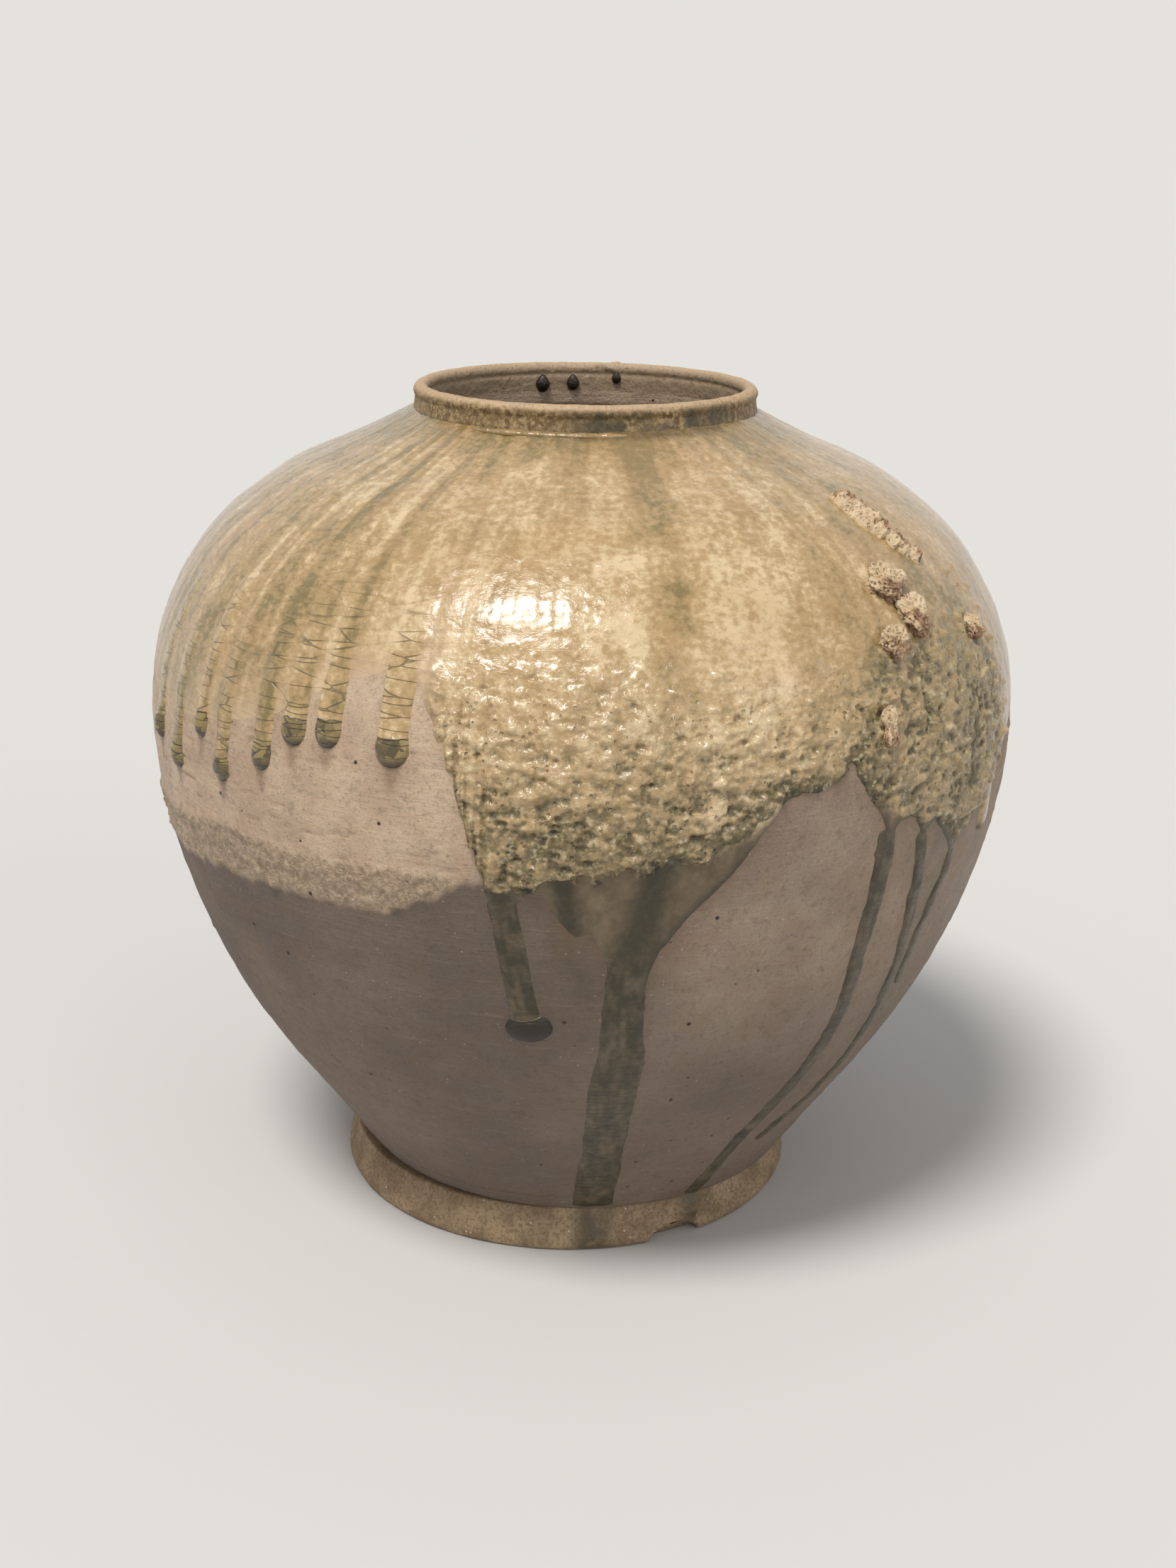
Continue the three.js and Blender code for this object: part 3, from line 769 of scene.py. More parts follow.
def shoulder_glaze():
    """The glaze coat as closed shells that meet on meridians."""
    top = ARC[-1]
    share = np.linspace(0, 1, GLAZE_ROWS)[:, None] ** 1.3
    for name, first, last, count in GLAZE_SHELLS:
        spare = (last - first) / (count - 1)
        columns = np.linspace(first - spare, last + spare, count + 2)
        a = np.broadcast_to(columns[None, :], (GLAZE_ROWS, count + 2))
        bottom = edge_arc(columns)[None, :] - 1.3
        s = bottom + (top - bottom) * share
        folded = fold(a)
        body = glaze_body(folded, s)
        lift = body + glaze_lumps(folded, s)
        if name != "back":
            lift = press(a, s, press(a, s, lift, PEBBLES), PITS)
            lift = np.where(edge_distance(folded, s) > 1.2, np.maximum(lift, 0.08), lift)
        # The relief's height also sets the glaze's painted shade in its hollows and its paler pebble tops.
        relief = np.clip(lift - body, -0.6, 0.6)
        clay = clay_lift(folded, s)
        surface = place(a, s, clay + lift)
        normals = grid_normals(surface, False)[:, 1:-1]
        pick = np.linspace(GLAZE_ROWS - 1, 0, UNDER_ROWS).astype(int)
        under = place(a[pick], s[pick], clay[pick] - UNDER_GLAZE)[:, 1:-1]
        points = np.concatenate([surface[:, 1:-1], under])
        normals = np.concatenate([normals, -normals[pick]])
        faces = grid_faces(len(points), count, True, False)
        tints = glaze_tints(folded, s, relief)
        tints = {key: np.concatenate([v, v[pick]])[:, 1:-1] for key, v in tints.items()}
        make_object(
            f"shoulder_glaze_{name}", points, faces, tints, "ash_glaze", "shoulder_glaze",
            normals, end_caps(len(points), count),
        )


def follow(route, step):
    """A route of [angle, height] knots as even steps: angle, arc length and direction at each."""
    line = through([(a, arc_at(z)) for a, z in route], 60)
    x = np.radians(line[:, 0]) * radius_at(line[:, 1])
    arc = np.concatenate([[0], np.cumsum(np.hypot(np.diff(x), np.diff(line[:, 1])))])
    at = np.arange(0, arc[-1], step)
    a, s = np.interp(at, arc, line[:, 0]), np.interp(at, arc, line[:, 1])
    run = np.stack([np.gradient(np.radians(a)) * radius_at(s), np.gradient(s)], 1)
    run = run / np.linalg.norm(run, axis=1)[:, None]
    return at, a, s, run


def patch(name, route, reach, height, deep, slot, node, step, tail=0, craze=0.4, fade=0.1):
    """A closed sheet laid along a route, whose height over the clay and whose darkness are functions
    of the distance along the route and across it. A tail carries it on beyond the last knot."""
    along, a0, s0, run = follow(route, step)
    if tail:
        more = np.arange(step, tail, step)
        along = np.concatenate([along, along[-1] + more])
        a0 = np.concatenate([a0, a0[-1] + np.degrees(more * run[-1, 0] / radius_at(s0[-1]))])
        s0 = np.concatenate([s0, s0[-1] + more * run[-1, 1]])
        run = np.vstack([run, np.repeat(run[-1:], len(more), 0)])
    across = np.linspace(-reach, reach, int(2 * reach / step) + 1)
    w, el = np.meshgrid(across, along)
    s = s0[:, None] + w * run[:, 0][:, None]
    a = a0[:, None] + np.degrees(-w * run[:, 1][:, None] / radius_at(s))
    own = height(el, w)
    coat = glaze_body(a, s) + 0.02
    lift = soft_max(own, coat, 0.25) - 0.45 * smooth(0.1, 0.5, coat - own)
    sides, end = smooth(reach - 1.2, reach - 0.2, np.abs(w)), along[-1]
    border = np.maximum(np.maximum(sides, smooth(1.5, 0.2, el)), smooth(end - 0.9, end - 0.2, el))
    lift = lift * (1 - border) + border * np.minimum(lift - 0.5, -0.4 + 0 * lift)
    clay = clay_lift(a, s)
    top = place(a, s, clay + lift)
    under = place(a, s, clay - UNDER_PATCH)[:, ::-1]
    rows, wide = w.shape
    points = np.concatenate([top, under], 1)
    ends = [end_strip(0, wide), end_strip((rows - 1) * 2 * wide, wide)[:, ::-1]]
    faces = np.concatenate([grid_faces(rows, 2 * wide, False, True)[:, ::-1], *ends])
    tints = glaze_tints(a, s)
    glass = smooth(0, 0.25, own) * smooth(0, fade, el)
    glass = np.maximum(glass, smooth(0.6, -0.4, edge_distance(a, s)))
    tints["depth"] = tints["depth"] * (1 - glass) + glass * deep(el, w)
    tints["tone"] = np.maximum(tints["tone"], glass * 0.4)
    tints["craze"] = np.maximum(tints["craze"], glass * craze)
    tints["coarse"] = tints["coarse"] * (1 - glass)
    tints["thin"] = tints["thin"] * (1 - glass)
    tints = {key: np.concatenate([v, v[:, ::-1]], 1) for key, v in tints.items()}
    make_object(name, points, faces, tints, slot, node)


def end_strip(first, wide):
    """Quads that close one end of a flattened tube of two facing rows, from its first point."""
    i = np.arange(first, first + wide - 1)
    j = 2 * (first + wide) - 1 - i
    return np.stack([i, i + 1, j - 1, j], -1)


def ridge(w, half, height):
    """The cross-section of a run of glass: a low dome with rounded sides."""
    q = np.abs(w) / half
    inside = height * np.clip(1 - q**3, 0, 1) ** 0.75
    return np.where(q < 1, inside, -(q - 1) * half * 0.6)


def dome(el, w, centre, half_length, half_width, height):
    """A hanging bead: a dome on an ellipse."""
    q = np.sqrt(((el - centre) / half_length) ** 2 + (w / half_width) ** 2)
    inside = height * np.clip(1 - q**2, 0, 1) ** 0.62
    return np.where(q < 1, inside, -(q - 1) * half_width * 0.8)


def left_drips():
    """The short drips on the left, each with a dark faceted bead at its tip."""
    for i, (angle, tip, width) in enumerate(LEFT_DRIPS):
        half = 3.5 + 0.1 * width
        bead_arc = arc_at(tip) + half
        top_arc = max(edge_arc(angle) + 10, bead_arc + 12)
        route = [(angle, height_at(arc)) for arc in (top_arc, (top_arc + bead_arc) / 2, bead_arc)]
        length = top_arc - bead_arc

        def height(el, w):
            wave = 1 + 0.1 * noise(el / 5, i * 3.7, 0.5, 121)
            top = 0.3 + 0.4 * smooth(0, 9, el) + 0.8 * smooth(length - 9, length, el)
            run = ridge(w, width * 0.47 * wave, top)
            run = np.where(el > length, -0.4, run)
            facets = 0.14 * noise(el / 1.9, w / 1.9, i * 2.3, 122)
            return soft_max(dome(el, w, length, half, width / 2, 2.1) + facets, run, 0.5)

        def deep(el, w):
            start = length - half * 0.75 + 0.7 * noise(w / 1.6, i * 4.1, 0.5, 123)
            return 0.05 + 0.81 * smooth(start, start + 0.5, el) + 0.12 * smooth(0, half, el - length)

        patch(
            f"left_drip_bead_{i + 1}", route, width / 2 + 1.6, height, deep, "dark_glaze",
            f"left_drip_{i + 1}", step=0.22, tail=half + 1.2, craze=1, fade=6,
        )


CENTRE_LEFT_ROUTE = ((-9.2, 131), (-8.6, 124), (-7.8, 113), (-7.1, 101), (-6.2, 90.5))
CENTRE_ROUTE = (
    (6.8, 119), (6, 108), (5.8, 96), (5.9, 82), (5.2, 66), (5, 50), (4.6, 33), (4.4, 13),
)
# The thin runs on the right: half their width, and their route
RIGHT_RUNS = (
    (3.3, (
        (38.9, 143), (38.9, 130), (38.6, 112), (38.9, 96), (39.4, 82), (38.4, 66), (34.6, 42), (30.9, 14),
    )),
    (2.6, (
        (44.9, 139), (46.2, 126), (47.3, 108), (48.6, 94), (49.4, 80), (49.6, 64), (46.6, 46), (41, 33),
    )),
    (2.1, ((53.9, 129), (53.2, 119), (52, 110), (51.4, 98), (51.8, 86))),
)
RIGHT_SIDE_ROUTE = ((61.6, 164), (61.8, 146), (62.4, 127))
NO_TIP = 1000


def route_length(route):
    return follow(route, 0.3)[0][-1]


def wavy(start, end, height, seed, tip=NO_TIP):
    """The section of a run whose half width goes from one value to another over its length, with a
    round end at its tip."""
    def section(el, w):
        half = start + (end - start) * smooth(0, 50, el)
        half = half * (1 + 0.15 * noise(el / 11, seed, 0.5, 131))
        half = half + 0.3 * noise(el / 2.4, seed + 3 * np.sign(w), 0.5, 135)
        half = half * np.sqrt(1 - np.clip(1 - (tip - el) / end, 0, 0.99) ** 2)
        shift = 0.4 * noise(el / 8, seed, 4.5, 132)
        return ridge(w + shift, half, height) * smooth(0, 8, el) - 0.3 * smooth(8, 0, el)
    return section


def long_runs():
    """The runs below the coarse glaze, the longest of which reach the foot."""
    bead_at = route_length(CENTRE_LEFT_ROUTE)
    side_tip = route_length(RIGHT_SIDE_ROUTE) + 1.2

    def film(el, w):
        return np.clip(0.7 + 0.3 * fbm(el / 5, w / 2.4, 0.5, 3, 134), 0, 0.8)

    def centre_left(el, w):
        bead = dome(el, w, bead_at, 4.8, 6, 2.4)
        run = ridge(w, 3.7 + 0.3 * noise(el / 9, 2.2, 0.5, 133), 0.55)
        run = np.where(el > bead_at, -0.4, run) * smooth(0, 5, el) - 0.3 * smooth(5, 0, el)
        return soft_max(bead, run, 0.8)

    def centre_left_film(el, w):
        return np.where(el > bead_at - 3.7, 1, film(el, w))

    def side_film(el, w):
        return 0.5 * smooth(side_tip - 6, side_tip, el)

    patch(
        "centre_left_run_glass", CENTRE_LEFT_ROUTE, 8.2, centre_left, centre_left_film, "dark_glaze",
        "centre_left_run", step=0.3, tail=6.2, fade=8,
    )
    patch(
        "centre_run_glass", CENTRE_ROUTE, 8, wavy(4.6, 5.9, 0.6, 1.3), film, "dark_glaze", "centre_run",
        step=0.36, fade=16,
    )
    for i, (half, route) in enumerate(RIGHT_RUNS):
        tip = route_length(route) + 1.2 if i else NO_TIP
        patch(
            f"right_run_glass_{i + 1}", route, 5, wavy(half, half * 0.85, 0.5, 5.1 + i, tip), film,
            "dark_glaze", f"right_run_{i + 1}", step=0.32, tail=2, fade=4,
        )
    patch(
        "right_side_run_glass", RIGHT_SIDE_ROUTE, 6.5, wavy(4, 3.4, 1, 9.7, side_tip), side_film,
        "ash_glaze", "right_side_run", step=0.35, tail=2, craze=0.3, fade=6,
    )


def crease_pool():
    """The bead of glass that pooled in the crease at the foot of the neck."""
    angles = np.linspace(-39, 17, 260)
    ends = window(angles, -39, -28, 6, 17)
    size = (0.25 + 0.8 * ends) * (1 + 0.3 * noise(angles / 3.5, 0.5, 0.5, 141))
    size = size * (1 + 0.25 * noise(angles / 1.3, 0.5, 0.5, 142))
    centre = 49.3 + 0.25 * noise(angles / 5, 0.5, 0.5, 143)
    turns = np.linspace(0, 2 * math.pi, 14, endpoint=False)[:, None]
    radius = centre + size * 1.25 * np.cos(turns)
    z = COLLAR_BASE + 0.5 + size * 0.85 * np.sin(turns)
    points = ring_at(np.radians(angles), radius, z)
    rows, wide = z.shape
    faces = grid_faces(rows, wide, True, False)
    values = {"tone": 0.75, "depth": 0.12, "craze": 0.2}
    tints = {key: np.full(z.shape, value) for key, value in values.items()}
    make_object(
        "crease_pool_glass", points, faces, tints, "dark_glaze", "crease_pool",
        caps=end_caps(rows, wide),
    )


def ball(name, subdivisions, shape, slot, node, tints):
    """A closed blob from a ball of unit points moved by a shape function. Its values are numbers, or
    functions of the unit points."""
    mesh = bpy.data.meshes.new(name)
    bm = bmesh.new()
    bmesh.ops.create_icosphere(bm, subdivisions=subdivisions, radius=1)
    bm.to_mesh(mesh)
    bm.free()
    unit = np.array([v.co for v in mesh.vertices])
    faces = np.array([p.vertices[:] for p in mesh.polygons])
    bpy.data.meshes.remove(mesh)
    values = {}
    for key, value in tints.items():
        values[key] = value(unit) if callable(value) else np.full(len(unit), value)
    make_object(name, shape(unit), faces, values, slot, node)


def inner_drops():
    """The dark drops that hang inside the neck at the back."""
    places = ((-163, 231.6, 2.1), (-175, 231.8, 1.9), (168, 233.4, 1.4))
    for i, (angle, z, size) in enumerate(places):
        def shape(unit):
            drop = unit * np.array([size, size * 0.75, size * 1.25])
            drop[:, 0] *= 1 - 0.35 * np.clip(unit[:, 2], 0, 1)
            turn = math.radians(angle) + drop[:, 0] / MOUTH_RADIUS
            return ring_at(turn, MOUTH_RADIUS + 0.1 + drop[:, 1], z + drop[:, 2])

        ball(
            f"inner_drop_glass_{i + 1}", 4, shape, "dark_glaze", f"inner_drop_{i + 1}",
            {"tone": 1, "depth": 1, "craze": 0.2},
        )


def crag(unit, seed):
    """A ball pushed in and out into a craggy, porous lump."""
    x, y, z = unit.T
    big = 0.28 * noise(x * 1.6 + seed, y * 1.6, z * 1.6, 151)
    cracks = -0.45 * np.abs(fbm(x * 3.1 + seed, y * 3.1, z * 3.1, 4, 153))
    holes = -0.2 * smooth(0.3, 0.6, noise(x * 5.5 + seed, y * 5.5, z * 5.5, 157))
    return unit * (1.08 + big + cracks + holes)[:, None]


STRIP_ROUTE = ((53.2, 216), (54.4, 212), (55.2, 208), (56.6, 204), (58.8, 199.5))
# Lumps of kiln wall: angle, height, width round the jar, length up the wall, standing off it
LUMPS = (
    (46.2, 197.4, 12.5, 11, 3.4), (48.4, 189.6, 9.5, 11.5, 3.2), (42.6, 185.2, 10.5, 8.6, 3),
    (61.8, 182, 5.6, 6.6, 2.3), (38.5, 166.5, 4.6, 10.5, 1.7),
)


def kiln_debris():
    """The scrap of kiln wall fused high on the right shoulder, and the lumps below it."""
    strip_end = route_length(STRIP_ROUTE)

    def strip_height(el, w):
        half = np.interp(el, (2, 8, 18, strip_end - 3), (3.4, 6.2, 5.6, 3))
        half = half * (1 + 0.35 * noise(el / 4, 7.7, w * 0 + 0.5, 161))
        body = ridge(w + 0.9 * noise(el / 6, 3.3, 0.5, 162), half, 2.4)
        ends = window(el, 0.6, 3.2, strip_end - 2.5, strip_end)
        craggy = 1.7 * fbm(el / 3.2, w / 3.2, 0.5, 4, 163)
        holes = 1.7 * smooth(0.2, 0.5, noise(el / 1.9, w / 1.9, 0.5, 167))
        lump = body + np.where(body > 0, craggy - holes, 0)
        return np.maximum(lump, -0.5) * ends - 0.5 * (1 - ends)

    def strip_bare(el, w):
        return smooth(-0.3, 0.5, fbm(el / 4, w / 4, 0.5, 2, 168) + 0.16 * w)

    def lump_bare(unit):
        x, y, z = unit.T
        return smooth(-0.2, 0.7, 0.7 * noise(x * 2, y * 2, z * 2, 159) - z)

    patch(
        "debris_strip_clinker", STRIP_ROUTE, 8.4, strip_height, strip_bare, "kiln_debris",
        "debris_strip", step=0.24,
    )
    for i, (a, z, width, length, standing) in enumerate(LUMPS):
        def shape(unit):
            lump = crag(unit, 3.1 * i)
            if length > 2 * width:
                lump[:, 0] *= 1 - 0.45 * bell(unit[:, 2], 0, 0.25)
            arc = arc_at(z)
            turn = a + np.degrees(lump[:, 0] * width / 2 / radius_at(arc))
            return place(turn, arc + lump[:, 2] * length / 2, 0.5 - lump[:, 1] * standing)

        ball(
            f"debris_clinker_{i + 1}", 6, shape, "kiln_debris", f"debris_lump_{i + 1}",
            {"depth": lump_bare},
        )


# Materials

class Nodes:
    """Short names for making the nodes of a material or a world. Sizes are in millimetres, and an
    input may be a value or the output of another node."""

    def __init__(self, name, kind="materials"):
        self.owner = getattr(bpy.data, kind).new(name)
        self.owner.use_nodes = True
        self.tree = self.owner.node_tree

    def fill(self, node, inputs):
        for key, value in inputs.items():
            if isinstance(value, bpy.types.NodeSocket):
                self.tree.links.new(value, node.inputs[key])
            else:
                node.inputs[key].default_value = value

    def make(self, kind, inputs=None, **settings):
        node = self.tree.nodes.new(kind)
        for key, value in settings.items():
            setattr(node, key, value)
        self.fill(node, inputs or {})
        return node.outputs

    def math(self, operation, a, b, clamp=False):
        return self.make("ShaderNodeMath", {0: a, 1: b}, operation=operation, use_clamp=clamp)[0]

    def times(self, a, b):
        return self.math("MULTIPLY", a, b)

    def plus(self, a, b, clamp=False):
        return self.math("ADD", a, b, clamp)

    def minus(self, a, b, clamp=False):
        return self.math("SUBTRACT", a, b, clamp)

    def tint(self, name):
        """A value that every point of the piece carries."""
        return self.make("ShaderNodeAttribute", attribute_name=name)["Fac"]

    def spot(self, stretch):
        """The place on the piece, scaled each way if asked."""
        place = self.make("ShaderNodeTexCoord")["Object"]
        if stretch is None:
            return place
        return self.make("ShaderNodeMapping", {"Vector": place, "Scale": stretch})[0]

    def noise(self, size, detail, stretch=None, rough=0.55):
        inputs = {"Vector": self.spot(stretch), "Scale": 1 / MM / size}
        inputs.update(Detail=detail, Roughness=rough)
        return self.make("ShaderNodeTexNoise", inputs)["Fac"]

    def cells(self, size, feature="F1", stretch=None, output="Distance"):
        inputs = {"Vector": self.spot(stretch), "Scale": 1 / MM / size}
        return self.make("ShaderNodeTexVoronoi", inputs, feature=feature)[output]

    def step(self, value, low, high, out_low=0, out_high=1):
        inputs = {"Value": value, "From Min": low, "From Max": high}
        inputs.update({"To Min": out_low, "To Max": out_high})
        return self.make("ShaderNodeMapRange", inputs, interpolation_type="SMOOTHSTEP")[0]

    def mix(self, share, a, b):
        return self.make("ShaderNodeMix", {"Factor": share, "A": a, "B": b}, data_type="RGBA")["Result"]

    def paint(self, colour, share, over, strength=None):
        """A colour with a screen colour laid over it, by a share that may be weakened first."""
        share = share if strength is None else self.times(share, strength)
        return self.mix(share, colour, rgb(*over))

    def mottle(self, size, detail, first, second):
        """Two screen colours in patches."""
        return self.mix(self.step(self.noise(size, detail), 0.35, 0.65), rgb(*first), rgb(*second))

    def bump(self, height, distance, strength, before=None):
        """A normal from a height, on top of the normal from before."""
        inputs = {"Distance": distance * MM, "Strength": strength, "Height": height}
        if before is not None:
            inputs["Normal"] = before
        return self.make("ShaderNodeBump", inputs)["Normal"]

    def finish(self, colour, rough, normal, more=None):
        inputs = {"Base Color": colour, "Roughness": rough, "Normal": normal}
        self.fill(self.tree.nodes["Principled BSDF"], {**inputs, **(more or {})})
        return self.owner


def rgb(red, green, blue):
    """A colour given as it looks on a screen, from 0 to 255, for a shader."""
    def linear(v):
        v = v / 255
        return v / 12.92 if v <= 0.04045 else ((v + 0.055) / 1.055) ** 2.4

    return (linear(red), linear(green), linear(blue), 1)


def glaze_material():
    n = Nodes("ash glaze")
    tone, depth, coarse, craze, thin = (n.tint(k) for k in ("tone", "depth", "coarse", "craze", "thin"))
    fine = n.noise(1.5, 4)
    flecks = n.noise(2, 4, (1, 1, 1.3), 0.65)
    blotch = n.noise(9, 4)
    grain = n.noise(0.6, 2)
    shade = n.plus(tone, n.times(n.minus(flecks, 0.5), 1.5))
    shade = n.plus(shade, n.times(n.minus(blotch, 0.5), 0.8))
    colour = n.mix(n.step(shade, 0, 0.55), rgb(222, 198, 156), rgb(180, 150, 104))
    colour = n.paint(colour, n.step(shade, 0.45, 1.1), (128, 111, 66))
    colour = n.paint(colour, coarse, (184, 160, 122), 0.3)
    brown = n.times(n.step(n.noise(24, 3), 0.42, 0.62), n.minus(1, craze, True))
    brown = n.times(brown, n.step(coarse, 0, 1, 0.3, 0.08))
    colour = n.paint(colour, brown, (178, 136, 86))
    colour = n.paint(colour, thin, (204, 180, 150), 0.8)
    deep = n.times(n.minus(fine, 0.5), n.plus(n.times(coarse, 0.8), 0.3))
    deep = n.times(n.plus(depth, deep, True), n.step(depth, 0.02, 0.2))
    film = n.mottle(4, 4, (112, 97, 74), (96, 82, 60))
    film = n.mix(n.times(coarse, 0.7), film, rgb(110, 97, 62))
    colour = n.mix(n.step(deep, 0.02, 0.45), colour, film)
    colour = n.paint(colour, n.step(deep, 0.4, 0.85), (56, 50, 33))
    facet = n.mix(n.step(n.cells(2.2, output="Color"), 0.2, 0.8), rgb(146, 126, 78), rgb(82, 70, 40))
    colour = n.mix(n.step(depth, 0.81, 0.84), colour, facet)
    colour = n.paint(colour, n.step(depth, 0.87, 1), (36, 30, 19))
    # Painted shade: the pits of the coarse glaze are darkened, and the same mask dents the bump below.
    pits = n.times(n.step(n.cells(1.9), 0.1, 0.28, 1, 0), coarse)
    pits = n.times(pits, n.step(n.noise(6, 2), 0.45, 0.58))
    colour = n.paint(colour, pits, (70, 56, 34), 0.45)
    # Pale flecks of ash on the coarse glaze, whitened further as painted glints.
    pale = n.times(n.step(n.noise(1.9, 3), 0.56, 0.66), n.times(coarse, 0.5))
    colour = n.paint(colour, pale, (208, 194, 156))
    lines = n.step(n.cells(3.2, "DISTANCE_TO_EDGE", (0.19, 0.19, 1.1)), 0, 0.045, 1, 0)
    lines = n.times(lines, craze)
    crack = n.mix(n.step(depth, 0.5, 0.85), rgb(92, 78, 46), rgb(30, 26, 14))
    colour = n.mix(n.times(lines, 0.75), colour, crack)
    rough = n.plus(n.times(grain, 0.16), 0.13)
    rough = n.plus(rough, n.times(thin, 0.3))
    filmy = n.times(n.step(depth, 0.2, 0.5), n.step(depth, 0.8, 0.86, 1, 0))
    rough = n.plus(rough, n.times(filmy, 0.2))
    rough = n.plus(rough, n.step(depth, 0.97, 1, 0, 0.25))
    normal = n.bump(flecks, 0.3, 0.5)
    gritty = n.plus(n.times(coarse, 0.8), 0.22)
    normal = n.bump(n.times(fine, gritty), 0.8, 0.7, normal)
    normal = n.bump(n.times(pits, -1), 0.6, 0.9, normal)
    normal = n.bump(n.times(lines, -1), 0.25, 0.9, normal)
    normal = n.bump(grain, 0.06, 0.4, normal)
    dull = n.math("MAXIMUM", n.math("MAXIMUM", thin, filmy), n.step(depth, 0.97, 1))
    coat = n.minus(0.42, n.times(dull, 0.5), True)
    return n.finish(colour, rough, normal, {"Coat Weight": coat, "Coat Roughness": 0.13})


def clay_material():
    n = Nodes("bare clay")
    flash, sand, stain, film = (n.tint(k) for k in ("flash", "sand", "stain", "film"))
    wide = n.noise(45, 3)
    mottle = n.noise(8, 4)
    grain = n.noise(0.8, 3)
    colour = n.mix(n.step(wide, 0.35, 0.65), rgb(104, 92, 83), rgb(122, 107, 94))
    colour = n.paint(colour, n.step(mottle, 0.4, 0.7), (112, 92, 76), 0.5)
    light = n.mottle(14, 3, (184, 158, 134), (204, 180, 152))
    light = n.mix(n.times(n.step(mottle, 0.45, 0.7), 0.5), light, rgb(192, 160, 130))
    colour = n.mix(n.times(flash, 0.95), colour, light)
    band = n.mottle(1.4, 3, (142, 122, 98), (178, 156, 128))
    colour = n.mix(n.times(sand, n.step(n.noise(4, 3), 0.3, 0.55, 0.3, 0.85)), colour, band)
    brown = n.mottle(5, 4, (96, 80, 58), (82, 70, 48))
    colour = n.mix(n.times(film, 0.8), colour, brown)
    colour = n.paint(colour, stain, (112, 82, 60), 0.5)
    colour = n.paint(colour, n.step(grain, 0.5, 0.75), (84, 70, 62), 0.35)
    stipple = n.step(n.noise(2.6, 4, rough=0.7), 0.52, 0.7)
    colour = n.paint(colour, stipple, (86, 70, 58), 0.35)
    specks = n.step(n.cells(7), 0.06, 0.1, 1, 0)
    colour = n.paint(colour, n.times(specks, n.step(n.noise(12, 2), 0.5, 0.56)), (48, 36, 30))
    white = n.step(n.cells(4.2), 0.05, 0.08, 1, 0)
    white = n.times(white, n.plus(n.times(sand, 0.9), 0.25))
    colour = n.paint(colour, white, (214, 204, 186))
    scratch = n.noise(1.4, 4, (0.12, 0.12, 1.6), 0.7)
    colour = n.paint(colour, n.step(scratch, 0.55, 0.72), (190, 168, 146), 0.12)
    rough = n.minus(0.8, n.times(flash, 0.3))
    rough = n.minus(rough, n.times(film, 0.35))
    rough = n.plus(rough, n.times(n.minus(grain, 0.5), 0.2))
    dimples = n.noise(2.8, 5, rough=0.65)
    normal = n.bump(n.times(dimples, n.plus(n.times(flash, 0.6), 0.4)), 0.9, 0.5)
    normal = n.bump(scratch, 0.4, 0.6, normal)
    normal = n.bump(grain, 0.3, 0.7, normal)
    normal = n.bump(n.times(n.noise(1.2, 3), sand), 1, 1, normal)
    normal = n.bump(n.times(specks, -1), 0.3, 0.6, normal)
    return n.finish(colour, rough, normal)


def foot_material():
    n = Nodes("foot clay")
    glaze = n.tint("glaze")
    grain = n.noise(0.9, 3)
    colour = n.mottle(10, 4, (140, 118, 92), (176, 152, 120))
    colour = n.paint(colour, n.step(grain, 0.42, 0.65), (112, 92, 70), 0.6)
    white = n.step(n.cells(3.4), 0.06, 0.1, 1, 0)
    colour = n.paint(colour, white, (228, 216, 194), 0.7)
    colour = n.paint(colour, glaze, (72, 64, 42), 0.85)
    rough = n.minus(0.88, n.times(glaze, 0.5))
    normal = n.bump(n.noise(2.2, 4), 0.7, 0.5)
    normal = n.bump(grain, 0.25, 0.6, normal)
    return n.finish(colour, rough, normal)


def collar_material():
    n = Nodes("rim clay")
    glaze, crest, inside = (n.tint(k) for k in ("glaze", "crest", "inside"))
    grain = n.noise(0.8, 3)
    speckle = n.step(n.noise(1.5, 4, rough=0.7), 0.42, 0.6)
    colour = n.mix(speckle, rgb(104, 82, 50), rgb(174, 150, 108))
    colour = n.paint(colour, n.step(n.noise(5, 4), 0.4, 0.65), (136, 110, 74), 0.6)
    # The lip's crest: its buff colour, partly lightened as a painted highlight.
    colour = n.paint(colour, crest, (206, 176, 140), 0.75)
    colour = n.paint(colour, inside, (178, 154, 128), 0.75)
    colour = n.paint(colour, n.step(grain, 0.5, 0.75), (82, 64, 40), 0.5)
    white = n.step(n.cells(3), 0.05, 0.09, 1, 0)
    colour = n.paint(colour, white, (214, 200, 170), 0.6)
    colour = n.paint(colour, glaze, (58, 54, 34), 0.8)
    rough = n.minus(0.52, n.times(glaze, 0.28))
    rough = n.plus(rough, n.times(grain, 0.15))
    normal = n.bump(n.noise(2, 4), 0.6, 0.6)
    normal = n.bump(grain, 0.25, 0.6, normal)
    return n.finish(colour, rough, normal)


def debris_material():
    n = Nodes("kiln debris")
    bare = n.tint("depth")
    pores = n.step(n.cells(1.2), 0.15, 0.35, 1, 0)
    patches = n.step(n.noise(3.5, 4), 0.35, 0.65)
    light = n.mix(patches, rgb(204, 176, 138), rgb(226, 202, 166))
    brown = n.mix(patches, rgb(146, 112, 86), rgb(186, 152, 122))
    colour = n.mix(bare, light, brown)
    # Painted shade: the pores are darkened, more on the bare clay.
    colour = n.paint(colour, n.times(pores, n.plus(n.times(bare, 0.4), 0.25)), (92, 64, 46))
    colour = n.paint(colour, n.step(n.noise(1.1, 3), 0.6, 0.75), (232, 214, 180))
    rough = n.plus(n.times(bare, 0.35), 0.5)
    normal = n.bump(n.noise(1, 4), 0.8, 0.9)
    normal = n.bump(n.times(pores, -1), 0.5, 0.8, normal)
    return n.finish(colour, rough, normal)


# Stage, camera and light

FLOOR_HALF = 30
FLOOR_DROP = 0.0001


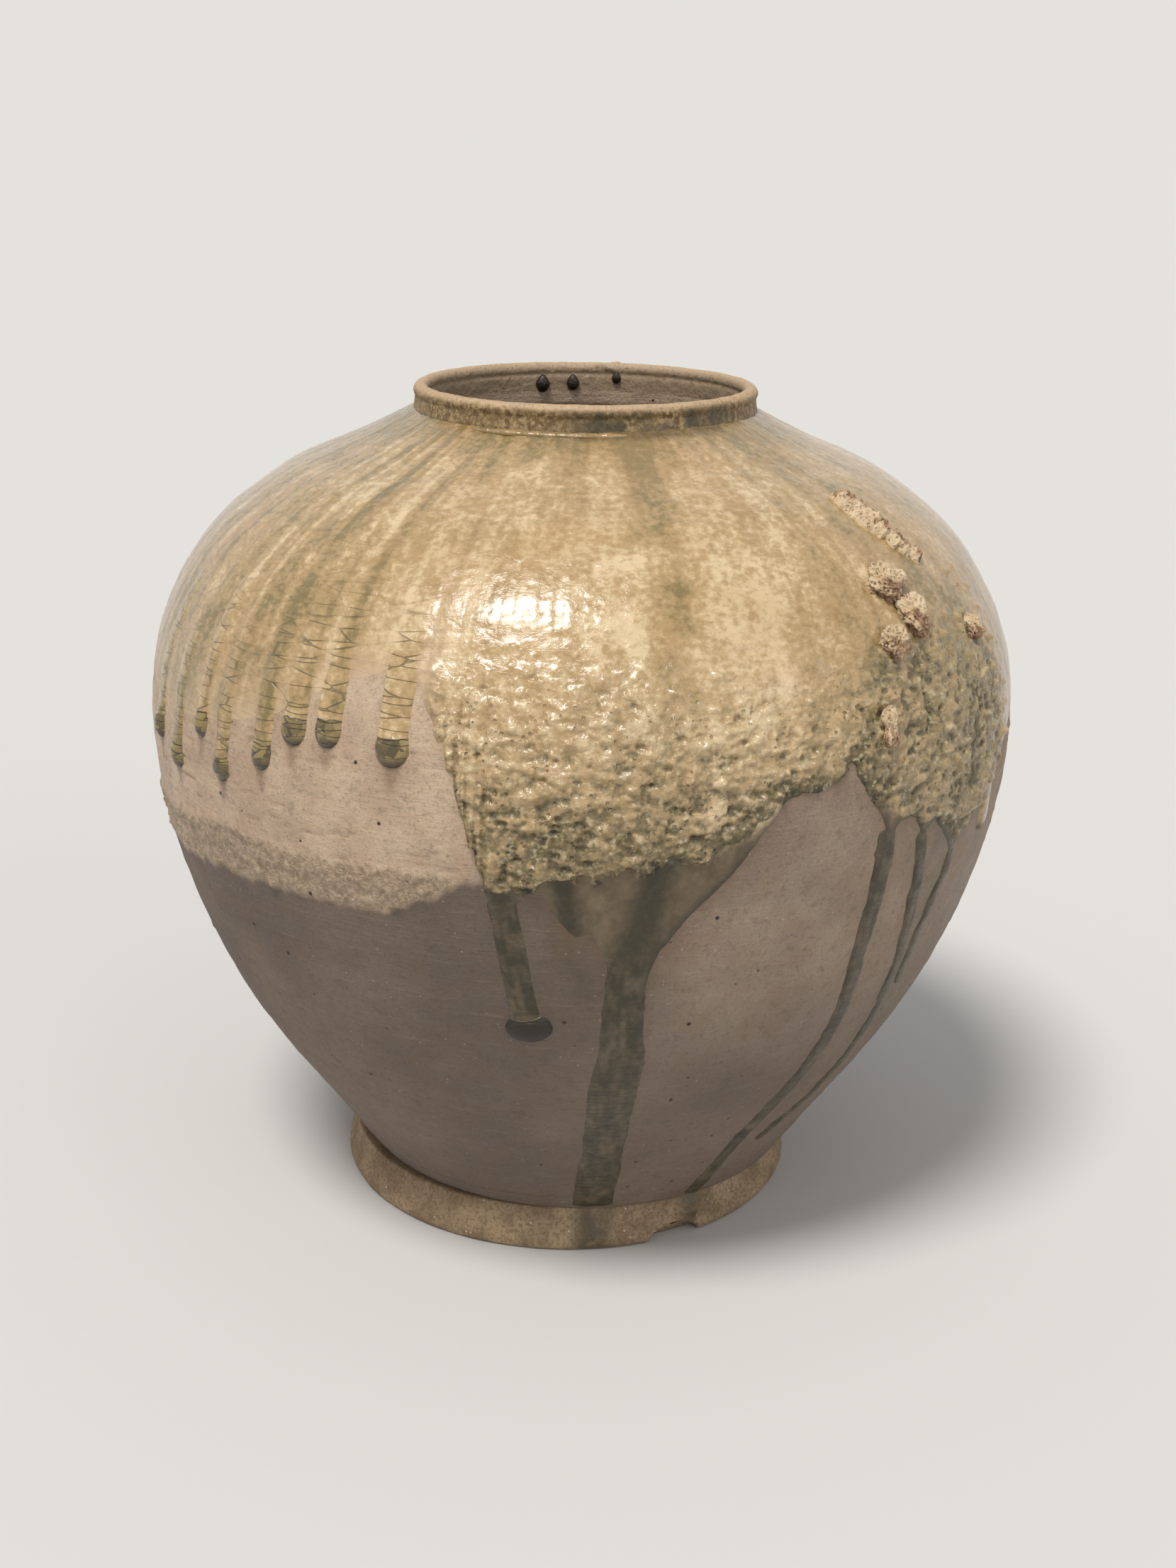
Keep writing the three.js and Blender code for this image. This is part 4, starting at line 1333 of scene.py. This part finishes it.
def stage():
    """A pale floor just below the foot ring."""
    floor = bpy.data.meshes.new("floor")
    corners = [(x * FLOOR_HALF, y * FLOOR_HALF, 0) for x, y in ((-1, -1), (1, -1), (1, 1), (-1, 1))]
    floor.from_pydata(corners, [], [(0, 1, 2, 3)])
    obj = link("floor", floor)
    obj.location.z = -FLOOR_DROP
    n = Nodes("floor")
    looks = {"Base Color": (0.72, 0.71, 0.69, 1), "Roughness": 0.9, "Specular IOR Level": 0}
    n.fill(n.tree.nodes["Principled BSDF"], looks)
    floor.materials.append(n.owner)


SENSOR = 36
FOCAL_PIXELS = 2858
PHOTO_HEIGHT = 2212
CAMERA_SPOT = (0, -0.5761, 0.3119)
PITCH, YAW, ROLL = (math.radians(turn) for turn in (18.57, 0.225, 0.83))


def camera():
    """The photograph's camera, found from the jar's outline, mouth and foot in it."""
    data = bpy.data.cameras.new("camera")
    data.sensor_width = SENSOR
    data.lens = SENSOR * FOCAL_PIXELS / PHOTO_HEIGHT
    obj = link("camera", data)
    turn = Matrix.Rotation(-YAW, 4, "Z") @ Matrix.Rotation(math.pi / 2 - PITCH, 4, "X")
    obj.matrix_world = Matrix.Translation(CAMERA_SPOT) @ turn @ Matrix.Rotation(ROLL, 4, "Z")
    bpy.context.scene.camera = obj


def sun(name, towards, strength, spread, colour):
    """A sun in a direction from the jar, as wide as so many degrees."""
    data = bpy.data.lights.new(name, "SUN")
    data.energy = strength
    data.angle = math.radians(spread)
    data.color = colour
    link(name, data).rotation_euler = Vector(towards).to_track_quat("Z", "Y").to_euler()


def lights():
    """Two suns, and a studio that is brighter to the camera and in reflections than as a light."""
    n = Nodes("studio", "worlds")
    bpy.context.scene.world = n.owner
    rays = n.make("ShaderNodeLightPath")
    seen = rays["Is Camera Ray"]
    for ray in ("Is Glossy Ray", "Is Transmission Ray"):
        seen = n.plus(seen, rays[ray], True)
    grey = n.mix(seen, (0.4, 0.4, 0.4, 1), (0.78, 0.76, 0.73, 1))
    n.fill(n.tree.nodes["Background"], {"Color": grey})
    sun("key", (-0.3, -0.5, 1.2), 2.25, 17, (1, 0.98, 0.95))
    sun("fill", (0.8, -0.8, 0.45), 0.35, 40, (0.96, 0.98, 1))


GLAZE = glaze_material()
MATERIALS = {
    "bare_clay": clay_material(), "foot_clay": foot_material(), "rim_clay": collar_material(),
    "ash_glaze": GLAZE, "dark_glaze": GLAZE, "kiln_debris": debris_material(),
}
camera()
wall_belts()
base_disc()
foot_ring()
neck_collar()
shoulder_glaze()
left_drips()
long_runs()
crease_pool()
inner_drops()
kiln_debris()
stage()
lights()
bpy.context.scene.view_settings.view_transform = "Standard"
